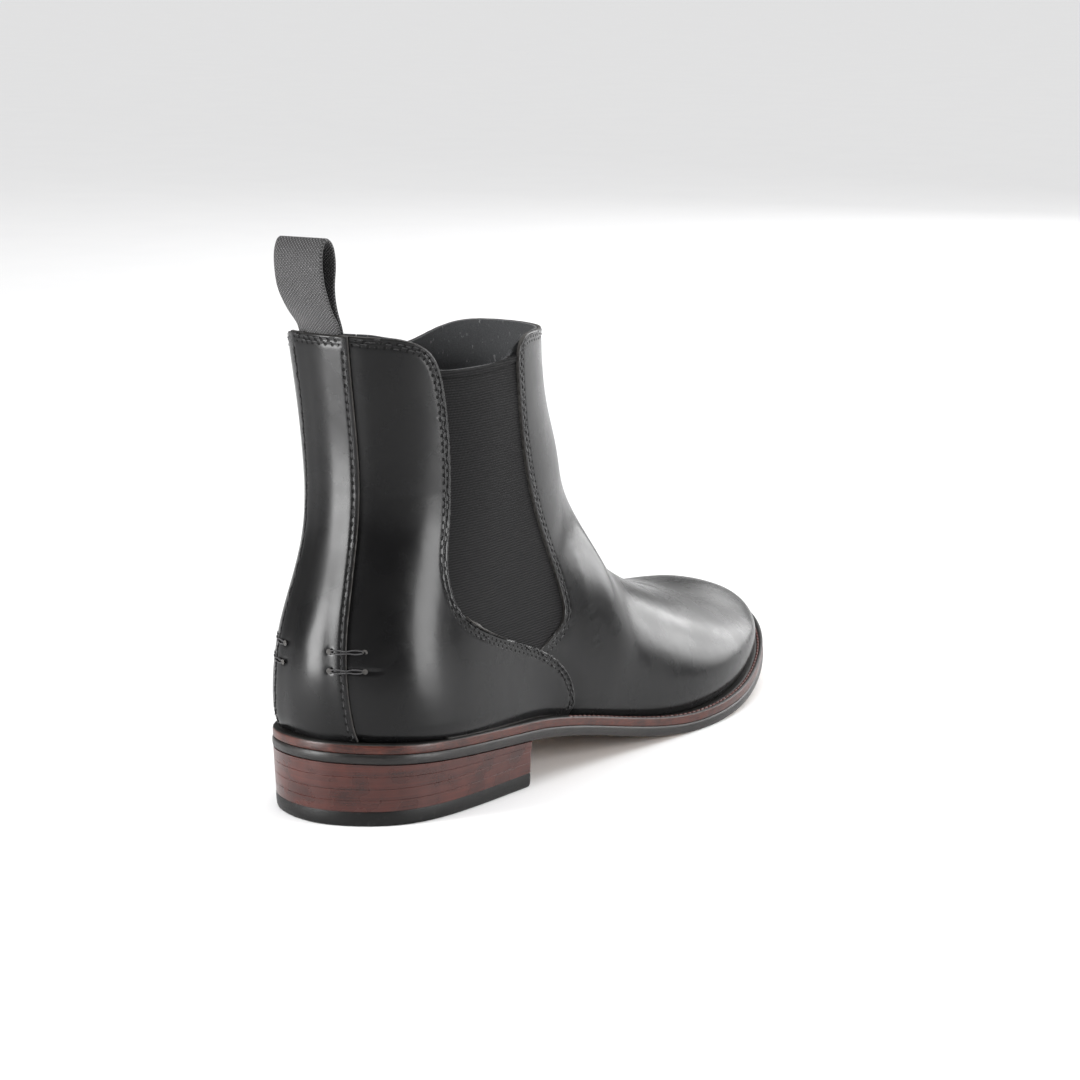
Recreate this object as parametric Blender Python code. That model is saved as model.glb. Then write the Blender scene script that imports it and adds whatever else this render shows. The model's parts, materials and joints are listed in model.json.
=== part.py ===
"""Chelsea boot, right foot: upper panels on a last shape, elastic gores, lining, stiffeners,
welted sole, stacked heel and a pull tab that swings at the top of the back.

Lengths below are millimetres, measured from the back of the outsole (y = 0, +y to the toe), from the
heel's centre line (x = 0, +x to the outer side of the foot) and from the ground (z = 0). The last step
turns them into metres and centres the boot on its bounding box.
"""

import math

import bmesh
import bpy
import numpy as np

MM = 0.001

# Driving dimensions
SOLE_LENGTH = 300.0
HEEL_LENGTH = 80.0
SEAT_HEIGHT_BACK = 22.0
SEAT_HEIGHT_BREAST = 16.5
TREAD_Y = 185.0
TOE_SPRING = 20.0
OUTSOLE_THICKNESS = 3.6
WELT_THICKNESS = 3.2
WELT_WIDTH = 12.0
TOP_PIECE_THICKNESS = 5.2
LIFT_THICKNESS = 3.6
HEEL_TAPER = 1.2
UPPER_LENGTH = 294.7
RIDGE_TIP_X = -11.0
ROLL_IN = 0.8
GAP = 0.3
SEAM_GAP = 0.5
GRIP_HALF_WIDTH = 14.0
COUNTER_FRONT = 60.0
COUNTER_LIFT = 4.0
LINING_SEAM_GAP = 1.8
INSOLE_INSET = 13.0
INSOLE_THICKNESS = 2.5
SOCK_THICKNESS = 1.2
SHANK_WIDTH = 14.0
NAIL_RADIUS = 1.2
NAIL_BORE_RADIUS = 1.5
STITCH_RADIUS = 0.7
STITCH_STAND = 1.05

# Layers of the upper, as depths under its outer surface
LEATHER = (0.0, 1.3)
MIDDLE = (2.1, 3.1)
PUFF = (2.2, 2.9)
LINING = (3.8, 4.7)

# The webbing of the pull tab
TAB_WIDTH = 19.0
TAB_THICKNESS = 1.2
TAB_CENTRE_X = -4.5
TAB_HINGE = (11.6, 166.2)
TAB_LOOP = [(10.9, 166.7), (7.4, 171.8), (4.2, 177.4), (1.9, 183), (0.9, 189), (1.4, 194), (3.8, 196.9),
            (6.6, 195.6), (8.5, 191.5), (8.8, 187), (8.2, 182), (8.6, 177), (10.3, 171.6), (12.7, 166.7)]

# Middle of the bounding box, which becomes the origin
BOX_CENTRE_X = -0.44
BOX_CENTRE_Y = 149.785

# Half widths of the sole on the outer and the inner side of the foot, as (y, half width)
OUTER_SIDE = [(0, 0), (2.5, 12), (10, 23.8), (25, 32.4), (40, 35.6), (60, 37.6), (80, 39.2), (100, 41.2),
              (120, 43.4), (145, 46.8), (170, 50.6), (195, 52.8), (220, 50.8), (245, 44.3), (265, 36),
              (283, 23.6), (294, 9), (299, -4), (300, -11)]
INNER_SIDE = [(0, 0), (2.5, 12), (10, 23.8), (25, 32.6), (40, 35.6), (60, 35.6), (80, 34), (100, 32.4),
              (120, 32.6), (145, 37.4), (170, 45), (195, 51.2), (220, 53.6), (245, 52.2), (265, 47.2),
              (283, 36.6), (294, 25), (299, 16), (300, 11)]

# The upper's back line (z, y), shaft half width (z, x) and the front and instep line (y, z)
BACK_LINE = [(26, 4), (38, 1.4), (50, 0.8), (65, 3), (80, 8.8), (95, 14), (110, 15.8), (130, 14.9),
             (150, 12), (172, 8.3)]
SHAFT_WIDTH = [(20, 37.5), (38, 36.7), (55, 35), (75, 32.6), (95, 31.8), (115, 33.2), (140, 34.6),
               (172, 36.4)]
FRONT_LINE = [(121, 172), (122.6, 150), (127.8, 130), (135.4, 114), (150, 79.6), (175, 61), (200, 50.4),
              (225, 43.4), (250, 38.7), (270, 36.4), (282, 34.6), (290.4, 31.2), (294.7, 25.6)]

# Panel edges in side view (y, z)
QUARTER_EDGE = [(105.4, 19.5), (106.3, 29.5), (103.9, 35.4), (98.6, 41), (90.4, 46), (79.5, 50.4),
                (67.8, 54.6), (56.2, 59.2), (46.8, 64), (41.4, 69), (38.8, 75.5), (38.4, 84), (40.6, 98),
                (40.6, 115), (38.2, 134), (35.4, 146), (32.4, 154), (28.4, 159.4), (22.5, 162.6), (17, 164)]
VAMP_EDGE = [(86, 159.6), (80.4, 158.9), (77, 156.6), (75.8, 151.9), (76.6, 145), (79.4, 130), (83.4, 116),
             (93.4, 95.2), (100.4, 82), (104.2, 73), (106.6, 64), (106.8, 58), (104.6, 53.8), (100, 51.6)]
SIDE_SEAM = [(99.8, 41.7), (104.9, 35.8), (107.2, 29.5), (106.3, 19.5)]
GORE_BACK = [(79, 46.2), (70, 48.8), (56, 53.6), (43, 60), (35.6, 68), (33, 80), (35.4, 98), (35.4, 115),
             (33.2, 134), (30.4, 145), (28.6, 152)]
GORE_FRONT = [(91, 45.4), (99, 46.4), (108, 50), (112, 57), (111, 66), (108.6, 75), (104.6, 84), (98, 96.4),
              (88.2, 117), (84.4, 130), (81.6, 145), (80.8, 152.6)]

# The right back seam (z, x); the left one mirrors it about the pull tab's centre
BACK_SEAM_X = [(20, 13.4), (30.5, 12.8), (47, 11.4), (62, 10.2), (77, 8.7), (89, 7.6), (112, 7.4), (144, 7.2),
               (170, 7.8)]

# Top edges: height at the back, and the lining's (y, z)
TOPLINE_BACK = 164.8
INNER_DIP = 9.0
LINING_TOP = [(21, 162.2), (27, 158), (33, 152.6), (42, 151), (66, 151), (74, 152.6), (79, 157), (85, 158.8),
              (95, 159.2)]


def spline(points):
    """The natural cubic spline through (x, value) points, as a function."""
    x, value = np.array(points, float).T
    step = np.diff(x)
    slope = np.diff(value) / step
    count = len(x)
    matrix = np.eye(count)
    right = np.zeros(count)
    for i in range(1, count - 1):
        matrix[i, i - 1:i + 2] = step[i - 1], 2 * (step[i - 1] + step[i]), step[i]
        right[i] = 6 * (slope[i] - slope[i - 1])
    bend = np.linalg.solve(matrix, right)

    def curve(at):
        at = np.asarray(at, float)
        i = np.clip(np.searchsorted(x, at) - 1, 0, count - 2)
        h = step[i]
        a = (x[i + 1] - at) / h
        b = (at - x[i]) / h
        curved = (a ** 3 - a) * bend[i] + (b ** 3 - b) * bend[i + 1]
        return a * value[i] + b * value[i + 1] + curved * h * h / 6

    return curve


def path(points, count):
    """count points, evenly spaced along a smooth curve through the points."""
    points = np.array(points, float)
    along = np.concatenate([[0], np.cumsum(np.linalg.norm(np.diff(points, axis=0), axis=1))])
    curves = [spline(np.stack([along, column], 1)) for column in points.T]
    fine = np.linspace(0, along[-1], 600)
    line = np.stack([curve(fine) for curve in curves], 1)
    length = np.concatenate([[0], np.cumsum(np.linalg.norm(np.diff(line, axis=0), axis=1))])
    at = np.interp(np.linspace(0, length[-1], count), length, fine)
    return np.stack([curve(at) for curve in curves], 1)


def smooth_step(x):
    x = np.clip(x, 0, 1)
    return x * x * (3 - 2 * x)


def angle_along(y):
    """0 at the back of the sole and pi at the toe: a variable in which round ends are smooth."""
    return np.arccos(np.clip(1 - 2 * np.asarray(y, float) / SOLE_LENGTH, -1, 1))


outer_side = spline([(angle_along(y), w) for y, w in OUTER_SIDE])
inner_side = spline([(angle_along(y), w) for y, w in INNER_SIDE])
back_line = spline(BACK_LINE)
shaft_width = spline(SHAFT_WIDTH)
back_seam_x = spline(BACK_SEAM_X)
front_points = path(FRONT_LINE, 500)


def inset_loop(inset, count=121):
    """The sole's outline moved in by inset, a number or a function of y. It returns the outer side's
    and the inner side's (x, y) points, each from the back to the toe."""
    angle = np.linspace(0, math.pi, count)
    y = SOLE_LENGTH * (1 - np.cos(angle)) / 2
    outer = np.stack([outer_side(angle), y], 1)
    inner = np.stack([-inner_side(angle), y], 1)
    loop = np.concatenate([outer, inner[-2:0:-1]])
    tangent = np.roll(loop, -1, 0) - np.roll(loop, 1, 0)
    normal = np.stack([tangent[:, 1], -tangent[:, 0]], 1)
    normal /= np.linalg.norm(normal, axis=1, keepdims=True)
    amount = inset(loop[:, 1:]) if callable(inset) else inset
    loop = loop - normal * amount
    return loop[:count], np.concatenate([loop[:1], loop[:count - 2:-1]])


def welt_margin(y):
    """How far the upper's edge lies inside the sole's outline."""
    toe = SOLE_LENGTH - UPPER_LENGTH - 3
    return 1 + 2 * np.clip((y - 80) / 120, 0, 1) + toe * smooth_step((y - 250) / 50)


upper_edges = inset_loop(welt_margin, 1201)


def upper_edge(y, side):
    """Half width of the upper where it meets the welt."""
    points = upper_edges[0 if side > 0 else 1]
    return side * np.interp(y, np.maximum.accumulate(points[:, 1]), points[:, 0])


def sole_bottom(y):
    """Height of the outsole's underside: a sloping heel seat, the waist, the tread and the toe spring."""
    y = np.asarray(y, float)
    slope = (SEAT_HEIGHT_BREAST - SEAT_HEIGHT_BACK) / HEEL_LENGTH
    waist = TREAD_Y - HEEL_LENGTH
    s = np.clip((y - HEEL_LENGTH) / waist, 0, 1)
    fall = (2 * s ** 3 - 3 * s ** 2 + 1) * SEAT_HEIGHT_BREAST + (s ** 3 - 2 * s ** 2 + s) * slope * waist
    spring = TOE_SPRING * (np.clip(y - TREAD_Y, 0, None) / (SOLE_LENGTH - TREAD_Y)) ** 2
    return np.where(y < HEEL_LENGTH, SEAT_HEIGHT_BACK + slope * y, np.where(y < TREAD_Y, fall, spring))


def feather_line(y):
    """Height at which the upper meets the welt."""
    return sole_bottom(y) + OUTSOLE_THICKNESS + WELT_THICKNESS + 2 * GAP


def instep_height(y):
    return np.interp(y, front_points[:, 0], front_points[:, 1])


def front_y(z):
    return np.interp(z, front_points[::-1, 1], front_points[::-1, 0])


def half_width(y, z, side):
    """Distance from x = 0 to the upper's outer surface, at a place in side view."""
    rear = smooth_step((135 - (y - 0.7 * (z - 30))) / 65)
    # Forefoot: upright sides that curve over to the ridge, which lies towards the big toe.
    edge = upper_edge(y, side)
    tall = instep_height(y) - feather_line(y)
    shoulder = feather_line(y) + np.minimum(9 - 4 * smooth_step((y - 200) / 90), 0.5 * tall)
    rise = np.clip((z - shoulder) / np.maximum(instep_height(y) - shoulder, 0.001), 0, 1)
    ridge_x = RIDGE_TIP_X * smooth_step((y - 150) / 144.7)
    forefoot = side * ridge_x + (edge - side * ridge_x) * np.sqrt(1 - rise ** 1.7)
    # Heel and shaft: a rounded plan section between the back line and the front line.
    back = np.clip((y - back_line(z)) / np.interp(z, [30, 60, 110], [74, 70, 56]), 0, 1)
    front = np.clip((front_y(z) - y) / 58, 0, 1)
    power = np.interp(z, [30, 60, 110], [4, 3.6, 2.4])
    shaft = shaft_width(z) * np.sqrt(1 - (1 - back) ** power) * np.sqrt(1 - (1 - front) ** 2.4)
    # The leather rolls in under itself where it meets the welt.
    low = np.clip(1 - (z - feather_line(y)) / 5, 0, 1)
    width = forefoot * (1 - rear) + shaft * rear
    return width - ROLL_IN * low ** 2 * np.clip(np.abs(width) / 12, 0, 1)


def back_depth(x, z):
    """y of the upper's outer surface near the back line, for a given x."""
    side = np.where(x < 0, -1, 1)
    low = back_line(z)
    high = low + 45
    for _ in range(40):
        middle = (low + high) / 2
        wide = np.where(side > 0, half_width(middle, z, 1), half_width(middle, z, -1))
        low = np.where(wide < np.abs(x), middle, low)
        high = np.where(wide < np.abs(x), high, middle)
    return (low + high) / 2


def coons(left, right, bottom, top, across):
    """Grid of (y, z) points between four edge curves; across holds the spacing from left to right."""
    up = np.linspace(0, 1, len(left))[:, None, None]
    s = np.asarray(across)[None, :, None]
    corners = ((1 - s) * (1 - up) * left[0] + s * (1 - up) * right[0]
               + (1 - s) * up * left[-1] + s * up * right[-1])
    return ((1 - s) * left[:, None] + s * right[:, None]
            + (1 - up) * bottom[None] + up * top[None] - corners)


def between(start, end, across):
    """Points on the straight line from start to end."""
    across = np.asarray(across)[:, None]
    return np.asarray(start) * (1 - across) + np.asarray(end) * across


def on_feather(start_y, end_y, across, lift=0.0):
    y = start_y + (end_y - start_y) * np.asarray(across)
    return np.stack([y, feather_line(y) + lift], 1)


def surface(side_view, side):
    """(y, z) points to 3-D points on the upper's outer surface. The top line dips lower on the inner side."""
    y, z = side_view[..., 0], side_view[..., 1]
    if side < 0:
        window = smooth_step((y - 30) / 30) * (1 - smooth_step((y - 100) / 22))
        z = z - INNER_DIP * smooth_step((z - 100) / 55) * window
    return np.stack([side * half_width(y, z, side), y, z], -1)


def normals_of(grid):
    """Unit normals of a grid of points, facing away from the inside of the boot."""
    down = np.gradient(grid, axis=0, edge_order=2)
    along = np.gradient(grid, axis=1, edge_order=2)
    normal = np.cross(down, along)
    length = np.linalg.norm(normal, axis=-1, keepdims=True)
    normal = normal / np.maximum(length, 1e-9)
    rows, columns = grid.shape[:2]
    centre = grid.reshape(-1, 3).mean(0)
    inside = np.array([0, centre[1] + 60 if centre[1] < 40 else centre[1], centre[2] - 10])
    outward = ((grid - inside) * normal).sum(-1)
    middle = outward[rows // 4:-(rows // 4), columns // 4:-(columns // 4)]
    return -normal if middle.mean() < 0 else normal


def material(name, colour, roughness, metallic=0.0):
    made = bpy.data.materials.new(name)
    made.use_nodes = True
    shader = made.node_tree.nodes["Principled BSDF"]
    shader.inputs["Base Color"].default_value = (*colour, 1)
    shader.inputs["Roughness"].default_value = roughness
    shader.inputs["Metallic"].default_value = metallic
    return made


def add(name, points, faces, finish, sharp=35):
    """A closed mesh object from points in millimetres and faces, at its place in the boot."""
    mesh = bpy.data.meshes.new(name)
    moved = (np.asarray(points, float).reshape(-1, 3) - [BOX_CENTRE_X, BOX_CENTRE_Y, 0]) * MM
    mesh.from_pydata(moved.tolist(), [], [list(map(int, face)) for face in faces])
    work = bmesh.new()
    work.from_mesh(mesh)
    bmesh.ops.remove_doubles(work, verts=work.verts, dist=1e-6)
    bmesh.ops.triangulate(work, faces=work.faces)
    bmesh.ops.recalc_face_normals(work, faces=work.faces)
    if work.calc_volume(signed=True) < 0:
        bmesh.ops.reverse_faces(work, faces=work.faces)
    work.to_mesh(mesh)
    work.free()
    mesh.shade_smooth()
    mesh.set_sharp_from_angle(angle=math.radians(sharp))
    mesh.materials.append(finish)
    made = bpy.data.objects.new(name, mesh)
    bpy.context.scene.collection.objects.link(made)
    return made


def shell(name, grid, normals, layer, finish):
    """A panel: the grid moved in by the layer's two depths and closed along its rim."""
    rows, columns = grid.shape[:2]
    count = rows * columns
    points = np.concatenate([(grid - normals * depth).reshape(-1, 3) for depth in layer])
    index = np.arange(count).reshape(rows, columns)
    faces = []
    for i in range(rows - 1):
        for j in range(columns - 1):
            quad = [index[i, j], index[i + 1, j], index[i + 1, j + 1], index[i, j + 1]]
            faces.append(quad)
            faces.append([corner + count for corner in reversed(quad)])
    rim = [*index[0, :-1], *index[:-1, -1], *index[-1, :0:-1], *index[:0:-1, 0]]
    for a, b in zip(rim, rim[1:] + rim[:1]):
        faces.append([a, b, b + count, a + count])
    return add(name, points, faces, finish)


def slab(name, stations, right, left, low, high, finish):
    """A sole layer: right and left are x at each y station, low and high are functions of y.
    A station where right equals left closes the end to a point."""
    points = []
    for height in (high, low):
        for x in (right, left):
            points.append(np.stack([x, stations, height(stations)], 1))
    n = len(stations)
    faces = []
    for i in range(n - 1):
        for a, b in ((0, 1), (1, 3), (3, 2), (2, 0)):
            faces.append([a * n + i, a * n + i + 1, b * n + i + 1, b * n + i])
    for i in (0, n - 1):
        faces.append([i, n + i, 3 * n + i, 2 * n + i])
    points = np.concatenate(points)
    keep = [face for face in faces if len({tuple(points[k].round(6)) for k in face}) > 2]
    return add(name, points, keep, finish)


def sole_layer(name, inset, low, high, finish, start=0.0, end=SOLE_LENGTH, steps=34):
    """A slab inside the inset outline, from start to end along the boot."""
    outer, inner = inset_loop(inset)
    first = max(start, outer[0, 1])
    last = min(end, outer[-1, 1])
    round_back = start <= outer[0, 1]
    round_toe = end >= outer[-1, 1]
    t = np.linspace(0, 1, steps)
    if round_back and round_toe:
        t = (1 - np.cos(math.pi * t)) / 2
    elif round_back:
        t = 1 - np.cos(math.pi * t / 2)
    elif round_toe:
        t = np.sin(math.pi * t / 2)
    stations = first + (last - first) * t
    sides = [np.interp(stations, np.maximum.accumulate(line[:, 1]), line[:, 0]) for line in (outer, inner)]
    middle = (sides[0] + sides[1]) / 2
    half = np.maximum((sides[0] - sides[1]) / 2, 0)
    return slab(name, stations, middle + half, middle - half, low, high, finish)


def ring(name, outer_inset, inner_inset, low, high, finish, every=3):
    """A closed strip between two inset outlines."""
    loops = []
    for inset in (outer_inset, inner_inset):
        outer, inner = inset_loop(inset)
        loops.append(np.concatenate([outer, inner[-2:0:-1]])[::every])
    n = len(loops[0])
    points = []
    for loop in loops:
        for height in (high, low):
            points.append(np.stack([loop[:, 0], loop[:, 1], height(loop[:, 1])], 1))
    faces = []
    for i in range(n):
        j = (i + 1) % n
        for a, b in ((0, 1), (1, 3), (3, 2), (2, 0)):
            faces.append([a * n + i, a * n + j, b * n + j, b * n + i])
    return add(name, np.concatenate(points), faces, finish)


def above_sole(offset):
    return lambda y: sole_bottom(y) + offset


def wrap(name, edge, profile, columns, layer, finish):
    """A panel that crosses the front line: ruled from an edge on each side to the profile between them.
    Its last row is one point, the tip of the toe."""
    spread = 1 - (1 - np.linspace(0, 1, columns)) ** 2
    view = np.stack([between(a, b, spread) for a, b in zip(edge, profile)])
    grid = np.concatenate([surface(view, 1), surface(view, -1)[:, -2::-1]], axis=1)
    grid[-1] = grid[-1].mean(0)
    normals = normals_of(grid)
    normals[-1] = 0, 1, 0
    return shell(name, grid, normals, layer, finish)


def toe_rows(start_y, count):
    """Feather line points from start_y to the toe tip, closer together near the tip."""
    return on_feather(start_y, UPPER_LENGTH, np.sin(np.linspace(0, math.pi / 2, count)))


def profile_rows(start_y, end_y, count):
    """Points on the front line, evenly spaced along it."""
    start, end = (np.argmin(np.abs(front_points[:, 0] - y)) for y in (start_y, end_y))
    return path(front_points[np.linspace(start, end, 24).astype(int)], count)


def tube(name, line, radius, finish, sides=6):
    """A round bar along a line of points, lying mainly along x."""
    line = np.asarray(line, float)
    along = np.gradient(line, axis=0)
    along /= np.linalg.norm(along, axis=1, keepdims=True)
    first = np.cross(along, [0, 0, 1])
    first /= np.linalg.norm(first, axis=1, keepdims=True)
    second = np.cross(along, first)
    turns = np.linspace(0, 2 * math.pi, sides, endpoint=False)
    points = np.concatenate([centre + radius * (math.cos(t) * first + math.sin(t) * second)
                             for t in turns for centre in [line]])
    n = len(line)
    faces = [[k * n + i, k * n + i + 1, (k + 1) % sides * n + i + 1, (k + 1) % sides * n + i]
             for k in range(sides) for i in range(n - 1)]
    faces += [[k * n + i for k in range(sides)] for i in (0, n - 1)]
    return add(name, points, faces, finish)


def build_back_panel(black):
    rows = 15
    z = feather_line(4) + (TOPLINE_BACK - feather_line(4)) * np.linspace(0, 1, rows)[:, None]
    across = np.linspace(-1, 1, 8)
    half = back_seam_x(z) - TAB_CENTRE_X - SEAM_GAP / 2
    x, z = np.broadcast_arrays(TAB_CENTRE_X + across * half, z)
    grid = np.stack([x, back_depth(x, z), z], -1)
    shell("back_panel", grid, normals_of(grid), LEATHER, black)


def build_side(side, word, black, elastic, cloth):
    # Quarter: from the back seam to the gore and the side seam
    count = 24
    z = np.linspace(float(feather_line(4)), TOPLINE_BACK, count)
    seam_x = back_seam_x(z) if side > 0 else back_seam_x(z) - 2 * TAB_CENTRE_X
    rear = np.stack([back_depth(side * (seam_x + SEAM_GAP / 2), z), z], 1)
    front = path(QUARTER_EDGE, count)
    front[0, 1] = feather_line(front[0, 0])
    spread = np.linspace(0, 1, 12) ** 1.25
    view = coons(rear, front, on_feather(rear[0, 0], front[0, 0], spread),
                 between(rear[-1], front[-1], spread), spread)
    grid = surface(view, side)
    shell("quarter_" + word, grid, normals_of(grid), LEATHER, black)

    # Gore: runs under the edges of the leather round it
    spread = np.linspace(0, 1, 10)
    rear, front = path(GORE_BACK, 15), path(GORE_FRONT, 15)
    view = coons(rear, front, between(rear[0], front[0], spread),
                 between(rear[-1], front[-1], spread), spread)
    grid = surface(view, side)
    shell("gore_" + word, grid, normals_of(grid), MIDDLE, elastic)

    # Quarter lining: behind the quarter and the gore
    count = 12
    z = np.linspace(float(feather_line(6)), 164.2, count)
    rear = np.stack([back_depth(side * (GRIP_HALF_WIDTH + LINING_SEAM_GAP) + 0 * z, z), z], 1)
    front = between((105.7, feather_line(105.7)), (95, 159.2), np.linspace(0, 1, count))
    spread = np.linspace(0, 1, 13)
    top = path([rear[-1], *LINING_TOP], len(spread))
    view = coons(rear, front, on_feather(rear[0, 0], front[0, 0], spread), top, spread)
    grid = surface(view, side)
    shell("quarter_lining_" + word, grid, normals_of(grid), LINING, cloth)


def build_front(black, cloth, board):
    edge = np.concatenate([path(VAMP_EDGE, 16), path(SIDE_SEAM, 4), toe_rows(106.3, 15)[1:]])
    edge[19, 1] = feather_line(edge[19, 0])
    profile = np.concatenate([profile_rows(121.5, 172, 20), profile_rows(172, UPPER_LENGTH, 15)[1:]])
    profile[-1] = edge[-1]
    wrap("vamp", edge, profile, 8, LEATHER, black)

    edge = np.concatenate([between((95.6, 159.2), (106.3, feather_line(106.3)), np.linspace(0, 1, 10)),
                           toe_rows(106.3, 11)[1:]])
    profile = np.concatenate([profile_rows(121.5, 172, 10), profile_rows(172, UPPER_LENGTH, 11)[1:]])
    profile[-1] = edge[-1]
    wrap("vamp_lining", edge, profile, 7, LINING, cloth)

    edge = toe_rows(228, 10)
    profile = profile_rows(232, UPPER_LENGTH, 10)
    profile[-1] = edge[-1]
    wrap("toe_puff", edge, profile, 8, PUFF, board)


def build_back_layers(webbing, cloth, board):
    # Heel counter: a cup round the heel
    across = np.linspace(-1, 1, 15)
    half = np.abs(across[7:]) ** 2
    base = float(feather_line(4)) + COUNTER_LIFT
    rear = path([(float(back_line(z)), z) for z in (base, 40, 50, 62)], 6)
    foot = (COUNTER_FRONT, feather_line(COUNTER_FRONT) + COUNTER_LIFT)
    front = between(foot, (COUNTER_FRONT, 44), np.linspace(0, 1, 6))
    bottom = on_feather(rear[0, 0], COUNTER_FRONT, half, COUNTER_LIFT)
    view = coons(rear, front, bottom, between(rear[-1], front[-1], half), half)
    grid = np.concatenate([surface(view, 1)[:, :0:-1], surface(view, -1)], axis=1)
    shell("heel_counter", grid, normals_of(grid), MIDDLE, board)

    # Heel grip: the lining down the middle of the back
    z = np.linspace(float(feather_line(6)), 164.2, 12)[:, None]
    x, z = np.broadcast_arrays(GRIP_HALF_WIDTH * np.linspace(-1, 1, 6), z)
    grid = np.stack([x, back_depth(x, z), z], -1)
    shell("heel_grip", grid, normals_of(grid), LINING, cloth)

    # The pull tab's sewn-in ends
    z = np.linspace(148, 164.4, 4)[:, None]
    x, z = np.broadcast_arrays(TAB_CENTRE_X + TAB_WIDTH / 2 * np.linspace(-1, 1, 5), z)
    grid = np.stack([x, back_depth(x, z), z], -1)
    shell("pull_tab_anchor", grid, normals_of(grid), MIDDLE, webbing)


def build_pull_tab(webbing):
    """A strip bent into a loop, turning about its base just above the top of the back."""
    line = path(TAB_LOOP, 25)
    along = np.gradient(line, axis=0)
    along /= np.linalg.norm(along, axis=1, keepdims=True)
    normal = np.stack([-along[:, 1], along[:, 0]], 1) * TAB_THICKNESS / 2
    n = len(line)
    points = []
    for x in (TAB_CENTRE_X - TAB_WIDTH / 2, TAB_CENTRE_X + TAB_WIDTH / 2):
        for face in (line + normal, line - normal):
            points.append(np.column_stack([np.full(n, x), face]))
    faces = []
    for i in range(n - 1):
        for a, b in ((0, 1), (1, 3), (3, 2), (2, 0)):
            faces.append([a * n + i, a * n + i + 1, b * n + i + 1, b * n + i])
    faces += [[i, n + i, 3 * n + i, 2 * n + i] for i in (0, n - 1)]
    tab = add("pull_tab", np.concatenate(points), faces, webbing)
    hinge = (np.array([TAB_CENTRE_X, *TAB_HINGE]) - [BOX_CENTRE_X, BOX_CENTRE_Y, 0]) * MM
    pivot = bpy.data.objects.new("pull_tab_hinge", None)
    bpy.context.scene.collection.objects.link(pivot)
    pivot.location = hinge
    tab.parent = pivot
    tab.location = -hinge


def build_bar_stitches(thread):
    """Hand-sewn bars across both back seams, lying on the leather."""
    for side, word in ((1, "right"), (-1, "left")):
        for z, place in ((60.0, "upper"), (53.6, "lower")):
            x = np.linspace(4.4, 15.2, 7) if side > 0 else -np.linspace(10.4, 21.2, 7)
            line = np.stack([x, back_depth(x, z + 0 * x), z + 0 * x], 1)
            out = line - [0, 36, z]
            out /= np.linalg.norm(out, axis=1, keepdims=True)
            tube("bar_stitch_" + word + "_" + place, line + out * STITCH_STAND, STITCH_RADIUS, thread)


def build_sole(rubber, stack, edge_leather, welt_leather, board, cork, steel, cloth):
    welt_low = OUTSOLE_THICKNESS + GAP
    welt_high = welt_low + WELT_THICKNESS
    insole_low = welt_high + GAP
    filler = WELT_WIDTH + 0.4
    sole_layer("outsole", 0, above_sole(0), above_sole(OUTSOLE_THICKNESS), edge_leather, steps=42)
    ring("welt", 0.2, WELT_WIDTH, above_sole(welt_low), above_sole(welt_high), welt_leather)
    filler_low, filler_high = above_sole(welt_low), above_sole(welt_high)
    sole_layer("cork_filler", filler, filler_low, filler_high, cork, start=148, steps=18)
    sole_layer("heel_seat_filler", filler, filler_low, filler_high, cork, end=46, steps=10)
    y = np.linspace(50, 144, 10)
    half = np.full(len(y), SHANK_WIDTH / 2)
    slab("shank", y, half, -half, above_sole(welt_low + 0.6), above_sole(welt_low + 2.2), steel)
    insole_high = insole_low + INSOLE_THICKNESS
    sole_layer("insole_board", INSOLE_INSET, above_sole(insole_low), above_sole(insole_high), board, steps=30)
    sock_low = insole_high + GAP
    sole_layer("sock_liner", INSOLE_INSET + 0.5, above_sole(sock_low), above_sole(sock_low + SOCK_THICKNESS),
               cloth, steps=30)

    # Heel: flat lifts on the top piece, then two wedges up to the sloping seat
    flat_top = TOP_PIECE_THICKNESS + 2 * (LIFT_THICKNESS + GAP)

    def wedge(share, offset):
        return lambda y: flat_top + share * (sole_bottom(y) - flat_top) + offset

    def level(height):
        return lambda y: np.full_like(np.asarray(y, float), height)

    layers = []
    bottom = TOP_PIECE_THICKNESS + GAP
    layers.append(("heel_lift_4", level(bottom), level(bottom + LIFT_THICKNESS), 0.8))
    bottom += LIFT_THICKNESS + GAP
    layers.append(("heel_lift_3", level(bottom), level(bottom + LIFT_THICKNESS), 0.6))
    layers.append(("heel_lift_2", wedge(0, GAP), wedge(0.5, -GAP / 2), 0.4))
    layers.append(("heel_lift_1", wedge(0.5, GAP / 2), wedge(1, -GAP), 0.2))
    sole_layer("heel_top_piece", HEEL_TAPER, level(0), level(TOP_PIECE_THICKNESS), rubber,
               end=HEEL_LENGTH, steps=16)
    lifts = [sole_layer(name, inset, low, high, stack, end=HEEL_LENGTH, steps=16)
             for name, low, high, inset in layers]

    places = [(0, 14), (20, 26), (-20, 26), (21, 58), (-21, 58)]
    cutter = pins("heel_bores", places, NAIL_BORE_RADIUS, 2, 24, stack)
    cutter.hide_render = True
    cutter.display_type = "WIRE"
    for lift in lifts:
        bore = lift.modifiers.new("nail_bores", "BOOLEAN")
        bore.operation = "DIFFERENCE"
        bore.object = cutter
    for i, (x, y) in enumerate(places):
        nail = "heel_nail_" + str(i + 1)
        pins(nail, [(x, y)], NAIL_RADIUS, TOP_PIECE_THICKNESS + GAP, sole_bottom(y) - GAP, steel)


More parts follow.
